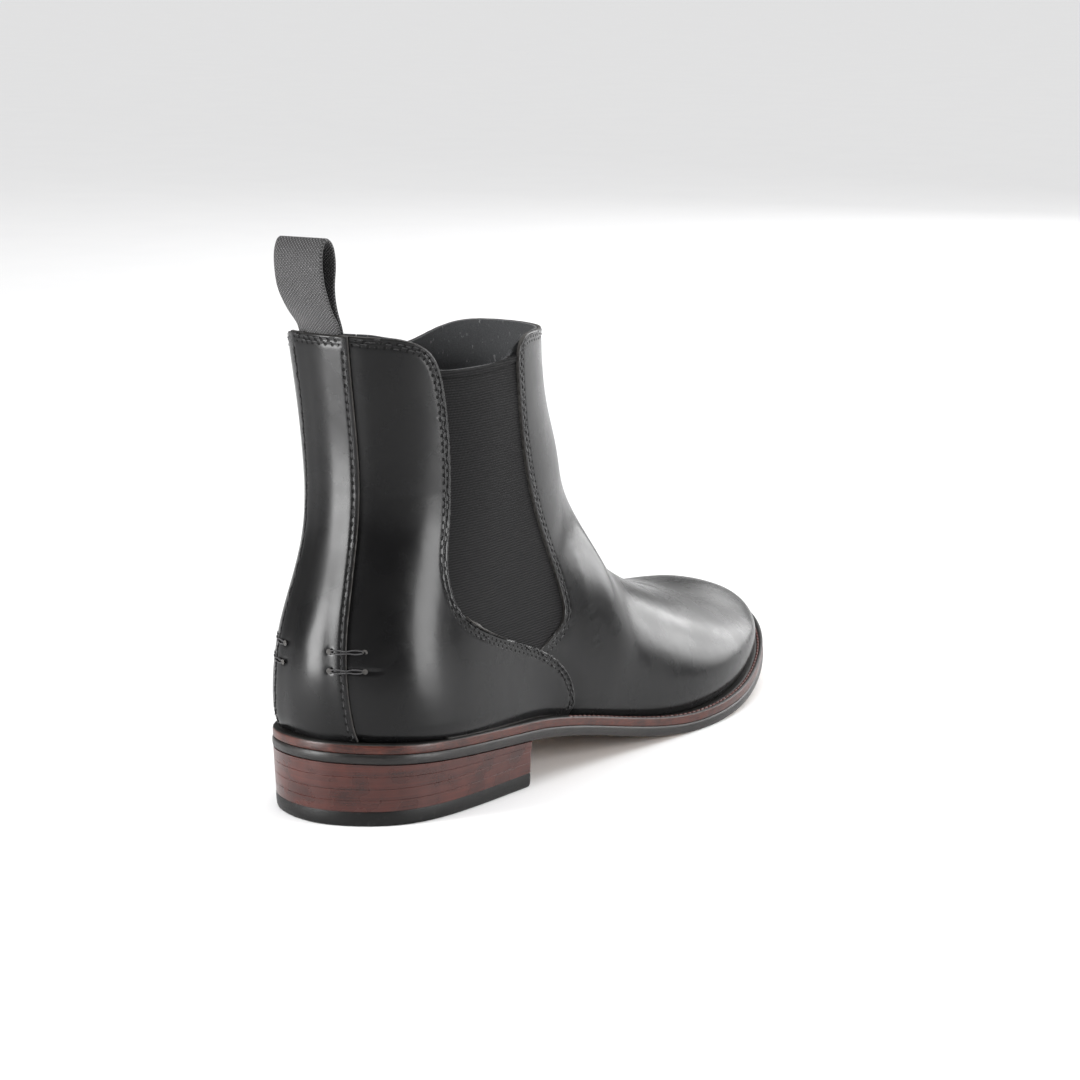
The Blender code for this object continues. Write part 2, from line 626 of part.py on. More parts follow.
def pins(name, places, radius, low, high, finish, sides=10):
    """Upright round pins at the given places, as one object."""
    points, faces = [], []
    turns = np.linspace(0, 2 * math.pi, sides, endpoint=False)
    for x, y in places:
        start = len(points)
        for z in (low, high):
            points += [(x + radius * math.cos(t), y + radius * math.sin(t), float(z)) for t in turns]
        faces += [[start + k, start + (k + 1) % sides, start + sides + (k + 1) % sides, start + sides + k]
                  for k in range(sides)]
        faces += [[start + k for k in range(sides)], [start + sides + k for k in range(sides)]]
    return add(name, points, faces, finish)


def main():
    for thing in list(bpy.data.objects):
        bpy.data.objects.remove(thing)
    black = material("black_leather", (0.012, 0.012, 0.013), 0.3)
    elastic = material("elastic", (0.02, 0.02, 0.022), 0.9)
    cloth = material("lining", (0.03, 0.028, 0.028), 0.8)
    board = material("board", (0.35, 0.25, 0.16), 0.85)
    webbing = material("webbing", (0.03, 0.03, 0.033), 0.85)
    thread = material("thread", (0.015, 0.015, 0.015), 0.6)
    rubber = material("rubber", (0.02, 0.02, 0.02), 0.6)
    stack = material("heel_leather", (0.17, 0.045, 0.03), 0.35)
    edge_leather = material("sole_leather", (0.035, 0.033, 0.033), 0.4)
    welt_leather = material("welt_leather", (0.15, 0.06, 0.045), 0.45)
    cork = material("cork", (0.45, 0.3, 0.18), 0.9)
    steel = material("steel", (0.5, 0.5, 0.5), 0.4, 1.0)
    build_back_panel(black)
    build_side(1, "right", black, elastic, cloth)
    build_side(-1, "left", black, elastic, cloth)
    build_front(black, cloth, board)
    build_back_layers(webbing, cloth, board)
    build_pull_tab(webbing)
    build_bar_stitches(thread)
    build_sole(rubber, stack, edge_leather, welt_leather, board, cork, steel, cloth)


main()
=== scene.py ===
"""Looks of the chelsea boot: leather panels that lap over each other, sewn seams, ribbed elastic, webbing,
welt, sole edge and stacked heel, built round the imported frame.

Lengths below are millimetres, measured as the frame was designed: from the back of the outsole (y = 0, +y to
the toe), from the heel's centre line (x = 0, +x to the outer side of the foot) and from the ground (z = 0).
The upper is one smooth surface. Each panel is a grid on it, lifted or sunk where it laps over its neighbour.
"""

import json
import math

import bmesh
import bpy
import numpy as np
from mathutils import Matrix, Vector
from mathutils.bvhtree import BVHTree
from mathutils.kdtree import KDTree


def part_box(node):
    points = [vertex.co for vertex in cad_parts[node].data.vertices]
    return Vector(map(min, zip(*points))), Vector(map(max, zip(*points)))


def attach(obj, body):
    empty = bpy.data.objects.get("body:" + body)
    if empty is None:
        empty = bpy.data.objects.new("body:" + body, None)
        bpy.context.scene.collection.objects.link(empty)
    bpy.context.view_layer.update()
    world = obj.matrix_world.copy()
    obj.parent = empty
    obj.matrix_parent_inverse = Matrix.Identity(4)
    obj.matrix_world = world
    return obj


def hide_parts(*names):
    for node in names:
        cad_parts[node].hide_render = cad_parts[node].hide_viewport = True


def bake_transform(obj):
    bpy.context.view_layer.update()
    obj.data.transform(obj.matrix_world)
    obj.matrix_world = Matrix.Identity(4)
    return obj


MM = 0.001

# Driving dimensions
SOLE_LENGTH = 300.0
HEEL_LENGTH = 80.0
SEAT_HEIGHT_BACK = 22.0
SEAT_HEIGHT_BREAST = 16.5
TREAD_Y = 185.0
TOE_SPRING = 20.0
OUTSOLE_THICKNESS = 3.6
WELT_THICKNESS = 3.2
TOP_PIECE_THICKNESS = 5.2
LIFT_THICKNESS = 3.6
HEEL_TAPER = 1.2
UPPER_LENGTH = 294.7
RIDGE_TIP_X = -11.0
ROLL_IN = 2.4
ROLL_HEIGHT = 6.0
GAP = 0.3
LEATHER_THICKNESS = 1.25
GORE_LIFT = -1.3
TOPLINE_BACK = 164.8
TOPLINE_FRONT = 158.0
INNER_DIP = 9.0

# Pull tab and back strip. The tab lies flat below TAB_FREE and follows the boot's back as it is at TAB_REST.
TAB_WIDTH = 19.0
TAB_THICKNESS = 1.2
TAB_CORNER = 0.9
TAB_CENTRE_X = -5.0
CAD_TAB_X = -4.5
TAB_FREE = 182.0
TAB_REST = 160.0

# The boot's outer and inner side: the sign of x, and the word in the names of the frame's nodes
SIDES = ((1, "right"), (-1, "left"))

# Sewing
STITCH_PITCH = 2.8
FIRST_ROW = 1.6
SECOND_ROW = 3.1
STRIP_ROW = 1.9
THREAD_RADIUS = 0.25
TWO_ROWS = [(FIRST_ROW, 0), (SECOND_ROW, 0.5)]
SEWN_GROOVE = 0.12
SEWN_REACH = 0.5
WELT_PITCH = 2.9
WELT_THREAD_RADIUS = 0.5
WELT_SEAM_START = 100
BAR_HEIGHTS = (60.0, 53.6)
BAR_REACH = 5.6
BAR_THREAD_RADIUS = 0.27

# Weaves
RIB_PITCH = 0.9
WRAP_PITCH = 0.6
TWILL_PITCH = 1.15
PLY_PITCH = 0.69813
HEM_LINE = 2.4

# Studio and camera
WORLD_STRENGTH = 0.2
CEILING_STRENGTH = 2.4
CEILING_ANGLE = 70
SENSOR = 36
LENS = 112.97
CAMERA_AZIMUTH = 30.05
CAMERA_ELEVATION = 10.93
CAMERA_DISTANCE = 1.25505

# Half widths of the sole on the outer and the inner side of the foot, as (y, half width)
OUTER_SIDE = [(0, 0), (2.5, 12), (10, 23.8), (25, 32.4), (40, 35.6), (60, 37.6), (80, 39.2), (100, 41.2),
              (120, 43.4), (145, 46.8), (170, 50.6), (195, 52.8), (220, 50.8), (245, 44.3), (265, 36),
              (283, 23.6), (294, 9), (299, -4), (300, -11)]
INNER_SIDE = [(0, 0), (2.5, 12), (10, 23.8), (25, 32.6), (40, 35.6), (60, 35.6), (80, 34), (100, 32.4),
              (120, 32.6), (145, 37.4), (170, 45), (195, 51.2), (220, 53.6), (245, 52.2), (265, 47.2),
              (283, 36.6), (294, 25), (299, 16), (300, 11)]

# The upper's back line (z, y), shaft half width (z, x) and the front and instep line (y, z)
BACK_LINE = [(26, 4), (38, 1.4), (50, 0.8), (65, 3), (80, 8.8), (95, 14), (110, 15.8), (130, 14.9),
             (150, 12), (172, 8.3)]
SHAFT_WIDTH = [(20, 37.5), (38, 36.7), (55, 35), (75, 32.6), (95, 31.8), (115, 33.2), (140, 34.6),
               (172, 36.4)]
FRONT_LINE = [(121, 172), (122.6, 150), (127.8, 130), (135.4, 114), (150, 79.6), (175, 61), (200, 50.4),
              (225, 43.4), (250, 38.7), (270, 36.4), (282, 34.6), (290.4, 31.2), (294.7, 25.6)]

# Panel edges in side view (y, z)
QUARTER_EDGE = [(105.4, 19.5), (106.3, 29.5), (103.9, 35.4), (98.6, 41), (90.4, 46), (79.5, 50.4),
                (67.8, 54.6), (56.2, 59.2), (46.8, 64), (41.4, 69), (38.8, 75.5), (38.4, 84), (40.6, 98),
                (40.6, 115), (38.2, 134), (35.4, 146), (32.4, 154), (28.4, 159.4), (22.5, 162.6), (17, 164)]
VAMP_EDGE = [(86, 159.6), (80.4, 158.9), (77, 156.6), (75.8, 151.9), (76.6, 145), (79.4, 130), (83.4, 116),
             (93.4, 95.2), (100.4, 82), (104.2, 73), (106.6, 64), (106.8, 58), (104.6, 53.8), (100, 51.2),
             (94, 48.9), (88, 45.6), (86, 41.5), (91, 36.5), (96, 31.5), (98.4, 26), (98.4, 19.5)]
GORE_BACK = [(84, 44.2), (70, 48.8), (56, 53.6), (43, 60), (35.6, 68), (33, 80), (35.4, 98), (35.4, 115),
             (33.2, 134), (30.4, 145), (28.6, 152)]
GORE_FRONT = [(92, 43.4), (101, 46.4), (109, 51), (112, 57), (111, 66), (108.6, 75), (104.6, 84), (98, 96.4),
              (88.2, 117), (84.4, 130), (81.6, 145), (80.8, 153.2)]
BACK_SEAM_X = [(20, 13.4), (30.5, 12.8), (47, 11.4), (62, 10.2), (77, 8.7), (89, 7.6), (112, 7.4), (144, 7.2),
               (170, 7.8)]
LINING_TOP = [(21, 163), (27, 159.6), (33, 152.6), (42, 151), (66, 151), (74, 152.6), (79, 157.4),
              (85, 158.9), (95, 159.2)]
TAB_LOOP = [(13.5, 152), (13, 158), (12, 163), (10.6, 167.6), (7.4, 171.8), (4.2, 177.4), (1.9, 183),
            (0.9, 189), (1.4, 194), (3.8, 196.9), (6.6, 195.6), (8.5, 191.5), (8.8, 187), (8.2, 182),
            (8.6, 177), (10.3, 171.6), (12.2, 167.6), (13.5, 163), (14.4, 158), (14.9, 152)]

# Spacing of grid lines beside a sewn or cut edge
FINE = [0, 0.07, 0.18, 0.34, 0.56, 0.85, 1.2, 1.55, 1.9, 2.3, 2.7, 3.1, 3.5, 4.0, 4.7]

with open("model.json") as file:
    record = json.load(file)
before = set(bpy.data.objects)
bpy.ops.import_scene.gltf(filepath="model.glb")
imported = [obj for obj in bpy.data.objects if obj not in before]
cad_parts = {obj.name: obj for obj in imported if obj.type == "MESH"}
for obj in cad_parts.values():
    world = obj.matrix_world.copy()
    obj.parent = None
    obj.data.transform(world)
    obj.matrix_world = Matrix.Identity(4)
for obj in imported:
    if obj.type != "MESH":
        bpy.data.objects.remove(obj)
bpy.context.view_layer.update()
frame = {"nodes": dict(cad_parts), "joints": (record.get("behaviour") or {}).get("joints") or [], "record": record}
HINGE = Vector(frame["joints"][0]["pos_m"])
# Where the design's zero lies in the frame, in millimetres
ORIGIN = np.array([HINGE.x / MM - CAD_TAB_X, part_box("outsole")[0].y / MM, 0])


def spline(points):
    """The natural cubic spline through (x, value) points, as a function."""
    x, value = np.array(points, float).T
    step = np.diff(x)
    slope = np.diff(value) / step
    count = len(x)
    matrix = np.eye(count)
    right = np.zeros(count)
    for i in range(1, count - 1):
        matrix[i, i - 1:i + 2] = step[i - 1], 2 * (step[i - 1] + step[i]), step[i]
        right[i] = 6 * (slope[i] - slope[i - 1])
    bend = np.linalg.solve(matrix, right)

    def curve(at):
        at = np.asarray(at, float)
        i = np.clip(np.searchsorted(x, at) - 1, 0, count - 2)
        h = step[i]
        a = (x[i + 1] - at) / h
        b = (at - x[i]) / h
        curved = (a ** 3 - a) * bend[i] + (b ** 3 - b) * bend[i + 1]
        return a * value[i] + b * value[i + 1] + curved * h * h / 6

    return curve


def lengths(line):
    """Distance along a line of points, at each point."""
    return np.concatenate([[0], np.cumsum(np.linalg.norm(np.diff(line, axis=0), axis=1))])


def smooth_path(points, count=1200):
    """A fine line through the points, on one smooth curve."""
    points = np.array(points, float)
    along = lengths(points)
    curves = [spline(np.stack([along, column], 1)) for column in points.T]
    line = np.stack([curve(np.linspace(0, along[-1], count)) for curve in curves], 1)
    at = lengths(line)
    even = np.linspace(0, at[-1], count)
    return np.stack([np.interp(even, at, column) for column in line.T], 1)


def read_at(line, at):
    """Points at the given distances along a line."""
    along = lengths(line)
    return np.stack([np.interp(at, along, column) for column in line.T], -1)


def resample(line, step):
    """The same line with evenly spaced points, about step apart."""
    line = np.asarray(line, float)
    total = lengths(line)[-1]
    return read_at(line, np.linspace(0, total, max(3, int(total / step))))


def nearest_at(line, point):
    """Distance along a line to the place nearest a point."""
    return lengths(line)[np.argmin(np.linalg.norm(line - np.asarray(point), axis=1))]


def smooth_step(x):
    """0 below 0, 1 above 1, with a smooth rise between."""
    x = np.clip(x, 0, 1)
    return x * x * (3 - 2 * x)


def unit(vectors):
    """Vectors scaled to length 1."""
    return vectors / np.maximum(np.linalg.norm(vectors, axis=-1, keepdims=True), 1e-9)


def slowing(count):
    """Shares from 0 to 1 that come closer together towards 1."""
    return np.sin(np.linspace(0, math.pi / 2, count))


def angle_along(y):
    """0 at the back of the sole and pi at the toe: a variable in which round ends are smooth."""
    return np.arccos(np.clip(1 - 2 * np.asarray(y, float) / SOLE_LENGTH, -1, 1))


outer_side = spline([(angle_along(y), w) for y, w in OUTER_SIDE])
inner_side = spline([(angle_along(y), w) for y, w in INNER_SIDE])
back_line = spline(BACK_LINE)
shaft_width = spline(SHAFT_WIDTH)
back_seam_x = spline(BACK_SEAM_X)
front_points = smooth_path(FRONT_LINE, 3000)
instep_profile = front_points[np.argmin(np.abs(front_points[:, 1] - TOPLINE_FRONT)):]


def inset_loop(inset, count=121):
    """The sole's outline moved in by inset, a number or a function of y: the outer side's and the inner
    side's (x, y) points, each from the back to the toe."""
    angle = np.linspace(0, math.pi, count)
    y = SOLE_LENGTH * (1 - np.cos(angle)) / 2
    outer = np.stack([outer_side(angle), y], 1)
    inner = np.stack([-inner_side(angle), y], 1)
    loop = np.concatenate([outer, inner[-2:0:-1]])
    tangent = np.roll(loop, -1, 0) - np.roll(loop, 1, 0)
    normal = unit(np.stack([tangent[:, 1], -tangent[:, 0]], 1))
    amount = inset(loop[:, 1:]) if callable(inset) else inset
    loop = loop - normal * amount
    return loop[:count], np.concatenate([loop[:1], loop[:count - 2:-1]])


def closed_loop(sides):
    """The two sides of an outline as one loop of points."""
    outer, inner = sides
    return np.concatenate([outer, inner[-2:0:-1]])


def welt_margin(y):
    """How far the upper's edge lies inside the sole's outline."""
    toe = SOLE_LENGTH - UPPER_LENGTH - 3
    return 1 + 2 * np.clip((y - 80) / 120, 0, 1) + toe * smooth_step((y - 250) / 50)


upper_edges = inset_loop(welt_margin, 1201)


def upper_edge(y, side):
    """Half width of the upper where it meets the welt."""
    points = upper_edges[0 if side > 0 else 1]
    return side * np.interp(y, np.maximum.accumulate(points[:, 1]), points[:, 0])


def sole_bottom(y):
    """Height of the outsole's underside: a sloping heel seat, the waist, the tread and the toe spring."""
    y = np.asarray(y, float)
    slope = (SEAT_HEIGHT_BREAST - SEAT_HEIGHT_BACK) / HEEL_LENGTH
    waist = TREAD_Y - HEEL_LENGTH
    s = np.clip((y - HEEL_LENGTH) / waist, 0, 1)
    fall = (2 * s ** 3 - 3 * s ** 2 + 1) * SEAT_HEIGHT_BREAST + (s ** 3 - 2 * s ** 2 + s) * slope * waist
    spring = TOE_SPRING * (np.clip(y - TREAD_Y, 0, None) / (SOLE_LENGTH - TREAD_Y)) ** 2
    return np.where(y < HEEL_LENGTH, SEAT_HEIGHT_BACK + slope * y, np.where(y < TREAD_Y, fall, spring))


def feather_line(y):
    """Height at which the upper meets the welt."""
    return sole_bottom(y) + OUTSOLE_THICKNESS + WELT_THICKNESS + 2 * GAP


def instep_height(y):
    """Height of the front and instep line."""
    return np.interp(y, front_points[:, 0], front_points[:, 1])


def front_y(z):
    return np.interp(z, front_points[::-1, 1], front_points[::-1, 0])


def half_width(y, z, side):
    """Distance from x = 0 to the upper's outer surface, at a place in side view."""
    rear = smooth_step((135 - (y - 0.7 * (z - 30))) / 65)
    # Forefoot: upright sides that curve over to the ridge, which lies towards the big toe.
    edge = upper_edge(y, side)
    tall = instep_height(y) - feather_line(y)
    shoulder = feather_line(y) + np.minimum(9 - 4 * smooth_step((y - 200) / 90), 0.5 * tall)
    rise = np.clip((z - shoulder) / np.maximum(instep_height(y) - shoulder, 0.001), 0, 1)
    ridge_x = RIDGE_TIP_X * smooth_step((y - 150) / 144.7)
    forefoot = side * ridge_x + (edge - side * ridge_x) * np.sqrt(1 - rise ** 1.7)
    # Heel and shaft: a rounded plan section between the back line and the front line.
    back = np.clip((y - back_line(z)) / np.interp(z, [30, 60, 110], [74, 70, 56]), 0, 1)
    front = np.clip((front_y(z) - y) / 58, 0, 1)
    power = np.interp(z, [30, 60, 110], [4, 3.6, 2.4])
    shaft = shaft_width(z) * np.sqrt(1 - (1 - back) ** power) * np.sqrt(1 - (1 - front) ** 2.4)
    # The leather rolls in under itself where it meets the welt.
    low = np.clip(1 - (z - feather_line(y)) / ROLL_HEIGHT, 0, 1)
    width = forefoot * (1 - rear) + shaft * rear
    return width - ROLL_IN * low ** 2 * np.clip(np.abs(width) / 12, 0, 1)


def back_depth(x, z):
    """y of the upper's outer surface near the back line, for a given x."""
    low = back_line(z)
    high = low + 45
    for _ in range(40):
        middle = (low + high) / 2
        wide = np.where(x < 0, half_width(middle, z, -1), half_width(middle, z, 1))
        low = np.where(wide < np.abs(x), middle, low)
        high = np.where(wide < np.abs(x), high, middle)
    return (low + high) / 2


def surface(view, side):
    """(y, z) points to 3-D points on the upper's outer surface. The top line dips lower on the inner side."""
    y, z = view[..., 0], view[..., 1]
    if side < 0:
        window = smooth_step((y - 30) / 30) * (1 - smooth_step((y - 100) / 22))
        z = z - INNER_DIP * smooth_step((z - 100) / 55) * window
    return np.stack([side * half_width(y, z, side), y, z], -1)


def coons(left, right, bottom, top, across):
    """Grid of (y, z) points between four edge curves. across holds each row's spacing from left to right."""
    up = np.linspace(0, 1, len(left))[:, None, None]
    s = np.broadcast_to(across, (len(left), np.shape(across)[-1]))[..., None]
    bottom = np.stack([np.interp(s[..., 0], s[0, :, 0], column) for column in bottom.T], -1)
    top = np.stack([np.interp(s[..., 0], s[-1, :, 0], column) for column in top.T], -1)
    corners = ((1 - s) * (1 - up) * left[0] + s * (1 - up) * right[0]
               + (1 - s) * up * left[-1] + s * up * right[-1])
    return (1 - s) * left[:, None] + s * right[:, None] + (1 - up) * bottom + up * top - corners


def between(start, end, across):
    """Points on the straight line from start to end, at these shares of it."""
    across = np.asarray(across)[:, None]
    return np.asarray(start) * (1 - across) + np.asarray(end) * across


def on_feather(start_y, end_y, across):
    """(y, z) points where the upper meets the welt, from start_y to end_y."""
    y = start_y + (end_y - start_y) * np.asarray(across)
    return np.stack([y, feather_line(y)], 1)


def normals_of(grid):
    """Unit normals of a grid of points, facing away from the inside of the boot."""
    down = np.gradient(grid, axis=0, edge_order=2)
    along = np.gradient(grid, axis=1, edge_order=2)
    normal = unit(np.cross(down, along))
    rows, columns = grid.shape[:2]
    centre = grid.reshape(-1, 3).mean(0)
    inside = np.array([0, centre[1] + 60 if centre[1] < 40 else centre[1], centre[2] - 10])
    outward = ((grid - inside) * normal).sum(-1)
    middle = outward[rows // 4:-(rows // 4), columns // 4:-(columns // 4)]
    return -normal if middle.mean() < 0 else normal


def shell(outer, inner):
    """A solid between two grids of points: its points, its front faces, and its back faces and rim."""
    rows, columns = outer.shape[:2]
    count = rows * columns
    index = np.arange(count).reshape(rows, columns)
    corners = [index[:-1, :-1], index[1:, :-1], index[1:, 1:], index[:-1, 1:]]
    front = np.stack([corner.ravel() for corner in corners], 1)
    rim = np.concatenate([index[0, :-1], index[:-1, -1], index[-1, :0:-1], index[:0:-1, 0]])
    following = np.roll(rim, -1)
    sides = np.stack([rim, following, following + count, rim + count], 1)
    points = np.concatenate([outer.reshape(-1, 3), inner.reshape(-1, 3)])
    return points, front.tolist(), [*(front[:, ::-1] + count).tolist(), *sides.tolist()]


def ring_faces(rings, sides, around=False):
    """Faces between neighbouring rings of points. around joins the last ring to the first as well."""
    faces = []
    for ring in range(rings if around else rings - 1):
        low = ring * sides
        high = (ring + 1) % rings * sides
        for k in range(sides):
            following = (k + 1) % sides
            faces.append([low + k, low + following, high + following, high + k])
    return faces


def tube_faces(rings, sides):
    """Faces between neighbouring rings of points and over both ends."""
    ends = [list(range(sides)), list(range((rings - 1) * sides, rings * sides))]
    return ring_faces(rings, sides) + ends


class Batch:
    """Small closed shapes that become one object."""

    def __init__(self):
        self.points = []
        self.faces = []
        self.choice = []

    def take(self, points, faces, finish=0):
        start = len(self.points)
        self.faces += [[corner + start for corner in face] for face in faces]
        self.choice += [finish] * len(faces)
        self.points += np.asarray(points).tolist()

    def add(self, name, finishes, node=None):
        shape = (self.points, self.faces, finishes)
        add(name, *shape, slot="thread", node=node, choice=self.choice, sharp=80)


def link_new(name, data):
    made = bpy.data.objects.new(name, data)
    bpy.context.scene.collection.objects.link(made)
    return made


def add(name, points, faces, finishes, slot=None, node=None, choice=None, sharp=40, attributes=None,
        body="boot"):
    """A closed mesh object from points in millimetres, shown in place of node. choice gives each face its
    finish's number."""
    mesh = bpy.data.meshes.new(name)
    points = (np.asarray(points, float).reshape(-1, 3) + ORIGIN) * MM
    mesh.from_pydata(points.tolist(), [], faces)
    for finish in finishes:
        mesh.materials.append(finish)
    if choice is not None:
        mesh.polygons.foreach_set("material_index", np.asarray(choice, np.int32))
    for key, values in (attributes or {}).items():
        field = mesh.attributes.new(key, "FLOAT", "POINT").data
        field.foreach_set("value", np.ravel(values).astype(np.float32))
    work = bmesh.new()
    work.from_mesh(mesh)
    bmesh.ops.remove_doubles(work, verts=work.verts, dist=1e-6)
    bmesh.ops.recalc_face_normals(work, faces=work.faces)
    if work.calc_volume(signed=True) < 0:
        bmesh.ops.reverse_faces(work, faces=work.faces)
    work.to_mesh(mesh)
    work.free()
    mesh.shade_smooth()
    mesh.set_sharp_from_angle(angle=math.radians(sharp))
    made = link_new(name, mesh)
    if body:
        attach(made, body)
    if node:
        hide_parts(node)
    return made


class Edge:
    """A panel's cut edge: a fine 3-D line on the surface, with the stitch rows that run beside it."""

    def __init__(self, line, rows=(), start=0.0, end=None, cut=0.45):
        self.line = np.asarray(line, float)
        self.along = lengths(self.line)
        self.tree = KDTree(len(self.line))
        for i, point in enumerate(self.line):
            self.tree.insert(point, i)
        self.tree.balance()
        self.rows = rows
        self.start = start
        self.end = self.along[-1] if end is None else end
        self.cut = cut

    def measure(self, grid):
        """(distance, distance along the edge) for each point of a grid."""
        found = [self.tree.find(point) for point in grid.reshape(-1, 3)]
        away = np.array([hit[2] for hit in found]).reshape(grid.shape[:2])
        along = self.along[[hit[1] for hit in found]].reshape(grid.shape[:2])
        return away, along

    def relief(self, away, along):
        """Height change beside the edge: the rounded cut, the sewn groove and the needle holes."""
        near = np.clip(1 - away / self.cut, 0, 1)
        height = -self.cut * (1 - np.sqrt(1 - near ** 2))
        sewn = (along > self.start) & (along < self.end)
        for row, _ in self.rows:
            height = height - sewn * SEWN_GROOVE * np.exp(-((away - row) / SEWN_REACH) ** 2)
        return height


def panel(name, grid, lift, edges, finishes, node, slot="black_leather", thickness=LEATHER_THICKNESS,
          dents=0):
    """A panel: the grid lifted by lift, with the edges' relief and dents, thickened inwards and closed. Gives
    back its outer surface, to be sewn on."""
    normals = normals_of(grid)
    outer_lift = lift
    nearest = np.full(grid.shape[:2], 99.0)
    place_along = np.zeros(grid.shape[:2])
    seams = {1: np.zeros(grid.shape[:2]), 2: np.zeros(grid.shape[:2])}
    for edge in edges:
        away, along = edge.measure(grid)
        outer_lift = outer_lift + edge.relief(away, along)
        closer = away < nearest
        nearest = np.where(closer, away, nearest)
        place_along = np.where(closer, along, place_along)
        sewn = (along > edge.start) & (along < edge.end)
        for rows, field in seams.items():
            field[closer] = (sewn & (len(edge.rows) == rows))[closer]
    outer_lift = outer_lift + dents
    outer = grid + normals * outer_lift[..., None]
    points, front, rest = shell(outer, grid + normals * (lift - thickness)[..., None])
    fields = {"edge_distance": nearest, "edge_along": place_along,
              "sewn_once": seams[1], "sewn_twice": seams[2]}
    fields = {key: np.concatenate([value.ravel(), np.zeros(value.size)]) for key, value in fields.items()}
    choice = [0] * len(front) + [1] * len(rest)
    add(name, points, front + rest, finishes, slot, node, choice, attributes=fields)
    return BVHTree.FromPolygons(outer.reshape(-1, 3).tolist(), front)


def tangents_at(line, at, reach=0.4):
    return unit(read_at(line, at + reach) - read_at(line, at - reach))


def frames_beside(edge, skin, row, at):
    """Points on a panel at a distance from its edge, with the directions along the edge and out of it."""
    places = read_at(edge.line, at)
    tangent = tangents_at(edge.line, at)
    points, outs = [], []
    for place, along in zip(places, tangent):
        normal = skin.find_nearest(place)[1]
        across = np.cross(normal, along)
        tries = [skin.find_nearest(Vector(place + turn * across * 2)) for turn in (1, -1)]
        turn = 1 if tries[0][3] < tries[1][3] else -1
        hit = skin.find_nearest(Vector(place + turn * across * row))
        points.append(hit[0])
        outs.append(hit[1])
    return np.array(points), tangent, np.array(outs)


# A stitch from one needle hole to the next: share of its half length, height and share of its radius
BEAD = [(-1, -0.4, 0.3), (-0.75, -0.12, 0.9), (0, 0.02, 1), (0.75, -0.12, 0.9), (1, -0.4, 0.3)]


def take_bead(batch, centre, along, out, half, radius=THREAD_RADIUS, sides=6):
    """One stitch: a short thread that rises out of one hole and goes down into the next."""
    across = np.cross(out, along)
    points = []
    for share, height, size in BEAD:
        middle = centre + along * half * share + out * height
        for k in range(sides):
            turn = 2 * math.pi * k / sides
            points.append(middle + radius * size * (math.cos(turn) * across + math.sin(turn) * out))
    batch.take(points, tube_faces(len(BEAD), sides))


def sew(name, runs, finish):
    """All the stitches of a panel in one object. runs holds (edge, skin) pairs."""
    batch = Batch()
    for edge, skin in runs:
        for row, phase in edge.rows:
            first = math.ceil(edge.start / STITCH_PITCH + phase)
            last = math.floor(edge.end / STITCH_PITCH + phase)
            at = (np.arange(first, last) + 0.5 - phase) * STITCH_PITCH
            at = at[(at > edge.start + 0.6) & (at < edge.end - 0.6)]
            for centre, along, out in zip(*frames_beside(edge, skin, row, at)):
                take_bead(batch, centre, along, out, STITCH_PITCH * 0.36)
    batch.add(name, [finish])


# --- The panels of the upper ---


def spaced(length, step, fine_end=False):
    """Distances from 0 to length, closer together at the start and, if asked, at the end."""
    fine = np.array(FINE)
    high = length - fine[::-1] if fine_end else np.array([length])
    count = max(2, int((high[0] - fine[-1]) / step))
    return np.concatenate([fine, np.linspace(fine[-1], high[0], count)[1:-1], high])


def build_back_strip(finishes, thread):
    low = float(feather_line(4))
    z = TOPLINE_BACK - spaced(TOPLINE_BACK - low, 0.8)[::-1]
    z[0] = low
    half = back_seam_x(z) - TAB_CENTRE_X
    across = spaced(2 * half.mean(), 1.0, True) / (2 * half.mean())
    x = TAB_CENTRE_X + half[:, None] * (2 * across[None] - 1)
    z = z[:, None] + 0 * x
    grid = np.stack([x, back_depth(x, z), z], -1)
    edges = [Edge(grid[-1], TWO_ROWS, start=2.2, end=lengths(grid[-1])[-1] - 2.2)]
    edges += [Edge(resample(grid[::-1, k], 0.3), [(STRIP_ROW, 0)], start=4.2) for k in (-1, 0)]
    seam_gap = np.minimum(x - x[:, :1], x[:, -1:] - x)
    lift = 0.1 + 0.75 * smooth_step(1 - seam_gap / 7)
    dents = needle_dents(grid, [bar_end(side, z_bar, 0) for side, _ in SIDES for z_bar in BAR_HEIGHTS])
    skin = panel("back_strip", grid, lift, edges, finishes, "back_panel", dents=dents)
    sew("back_strip_stitching", [(edge, skin) for edge in edges], thread)


def seam_at(side, z):
    """x of the back seam on one side."""
    return back_seam_x(z) if side > 0 else 2 * TAB_CENTRE_X - back_seam_x(z)


def bar_end(side, z, end):
    """A hole of a bar stitch: end 0 lies on the strip and end 1 on the quarter."""
    x = seam_at(side, z) + side * BAR_REACH * (2 * end - 1)
    y = back_depth(np.array([x]), np.array([float(z)]))[0]
    return np.array([x, y, z])


def needle_dents(grid, centres):
    """Height change of a grid round the needle holes of the bar stitches."""
    height = np.zeros(grid.shape[:2])
    for centre in centres:
        away = np.linalg.norm(grid - centre, axis=-1)
        height -= 0.9 * np.exp(-(away / 0.62) ** 2)
    return height


def quarter_front():
    """The quarter's front edge in side view, from the welt to the top line."""
    front = smooth_path(QUARTER_EDGE)
    front[0, 1] = feather_line(front[0, 0])
    return front


def quarter_edge_line(side):
    """The quarter's whole visible edge in 3-D: along the top, down beside the gore and round to the welt."""
    front = quarter_front()
    x = np.array([seam_at(side, TOPLINE_BACK)])
    rear = np.array([back_depth(x, np.array([TOPLINE_BACK]))[0], TOPLINE_BACK])
    top = between(rear, front[-1], np.linspace(0, 1, 40))
    return resample(surface(np.concatenate([top, front[-2::-1]]), side), 0.25)


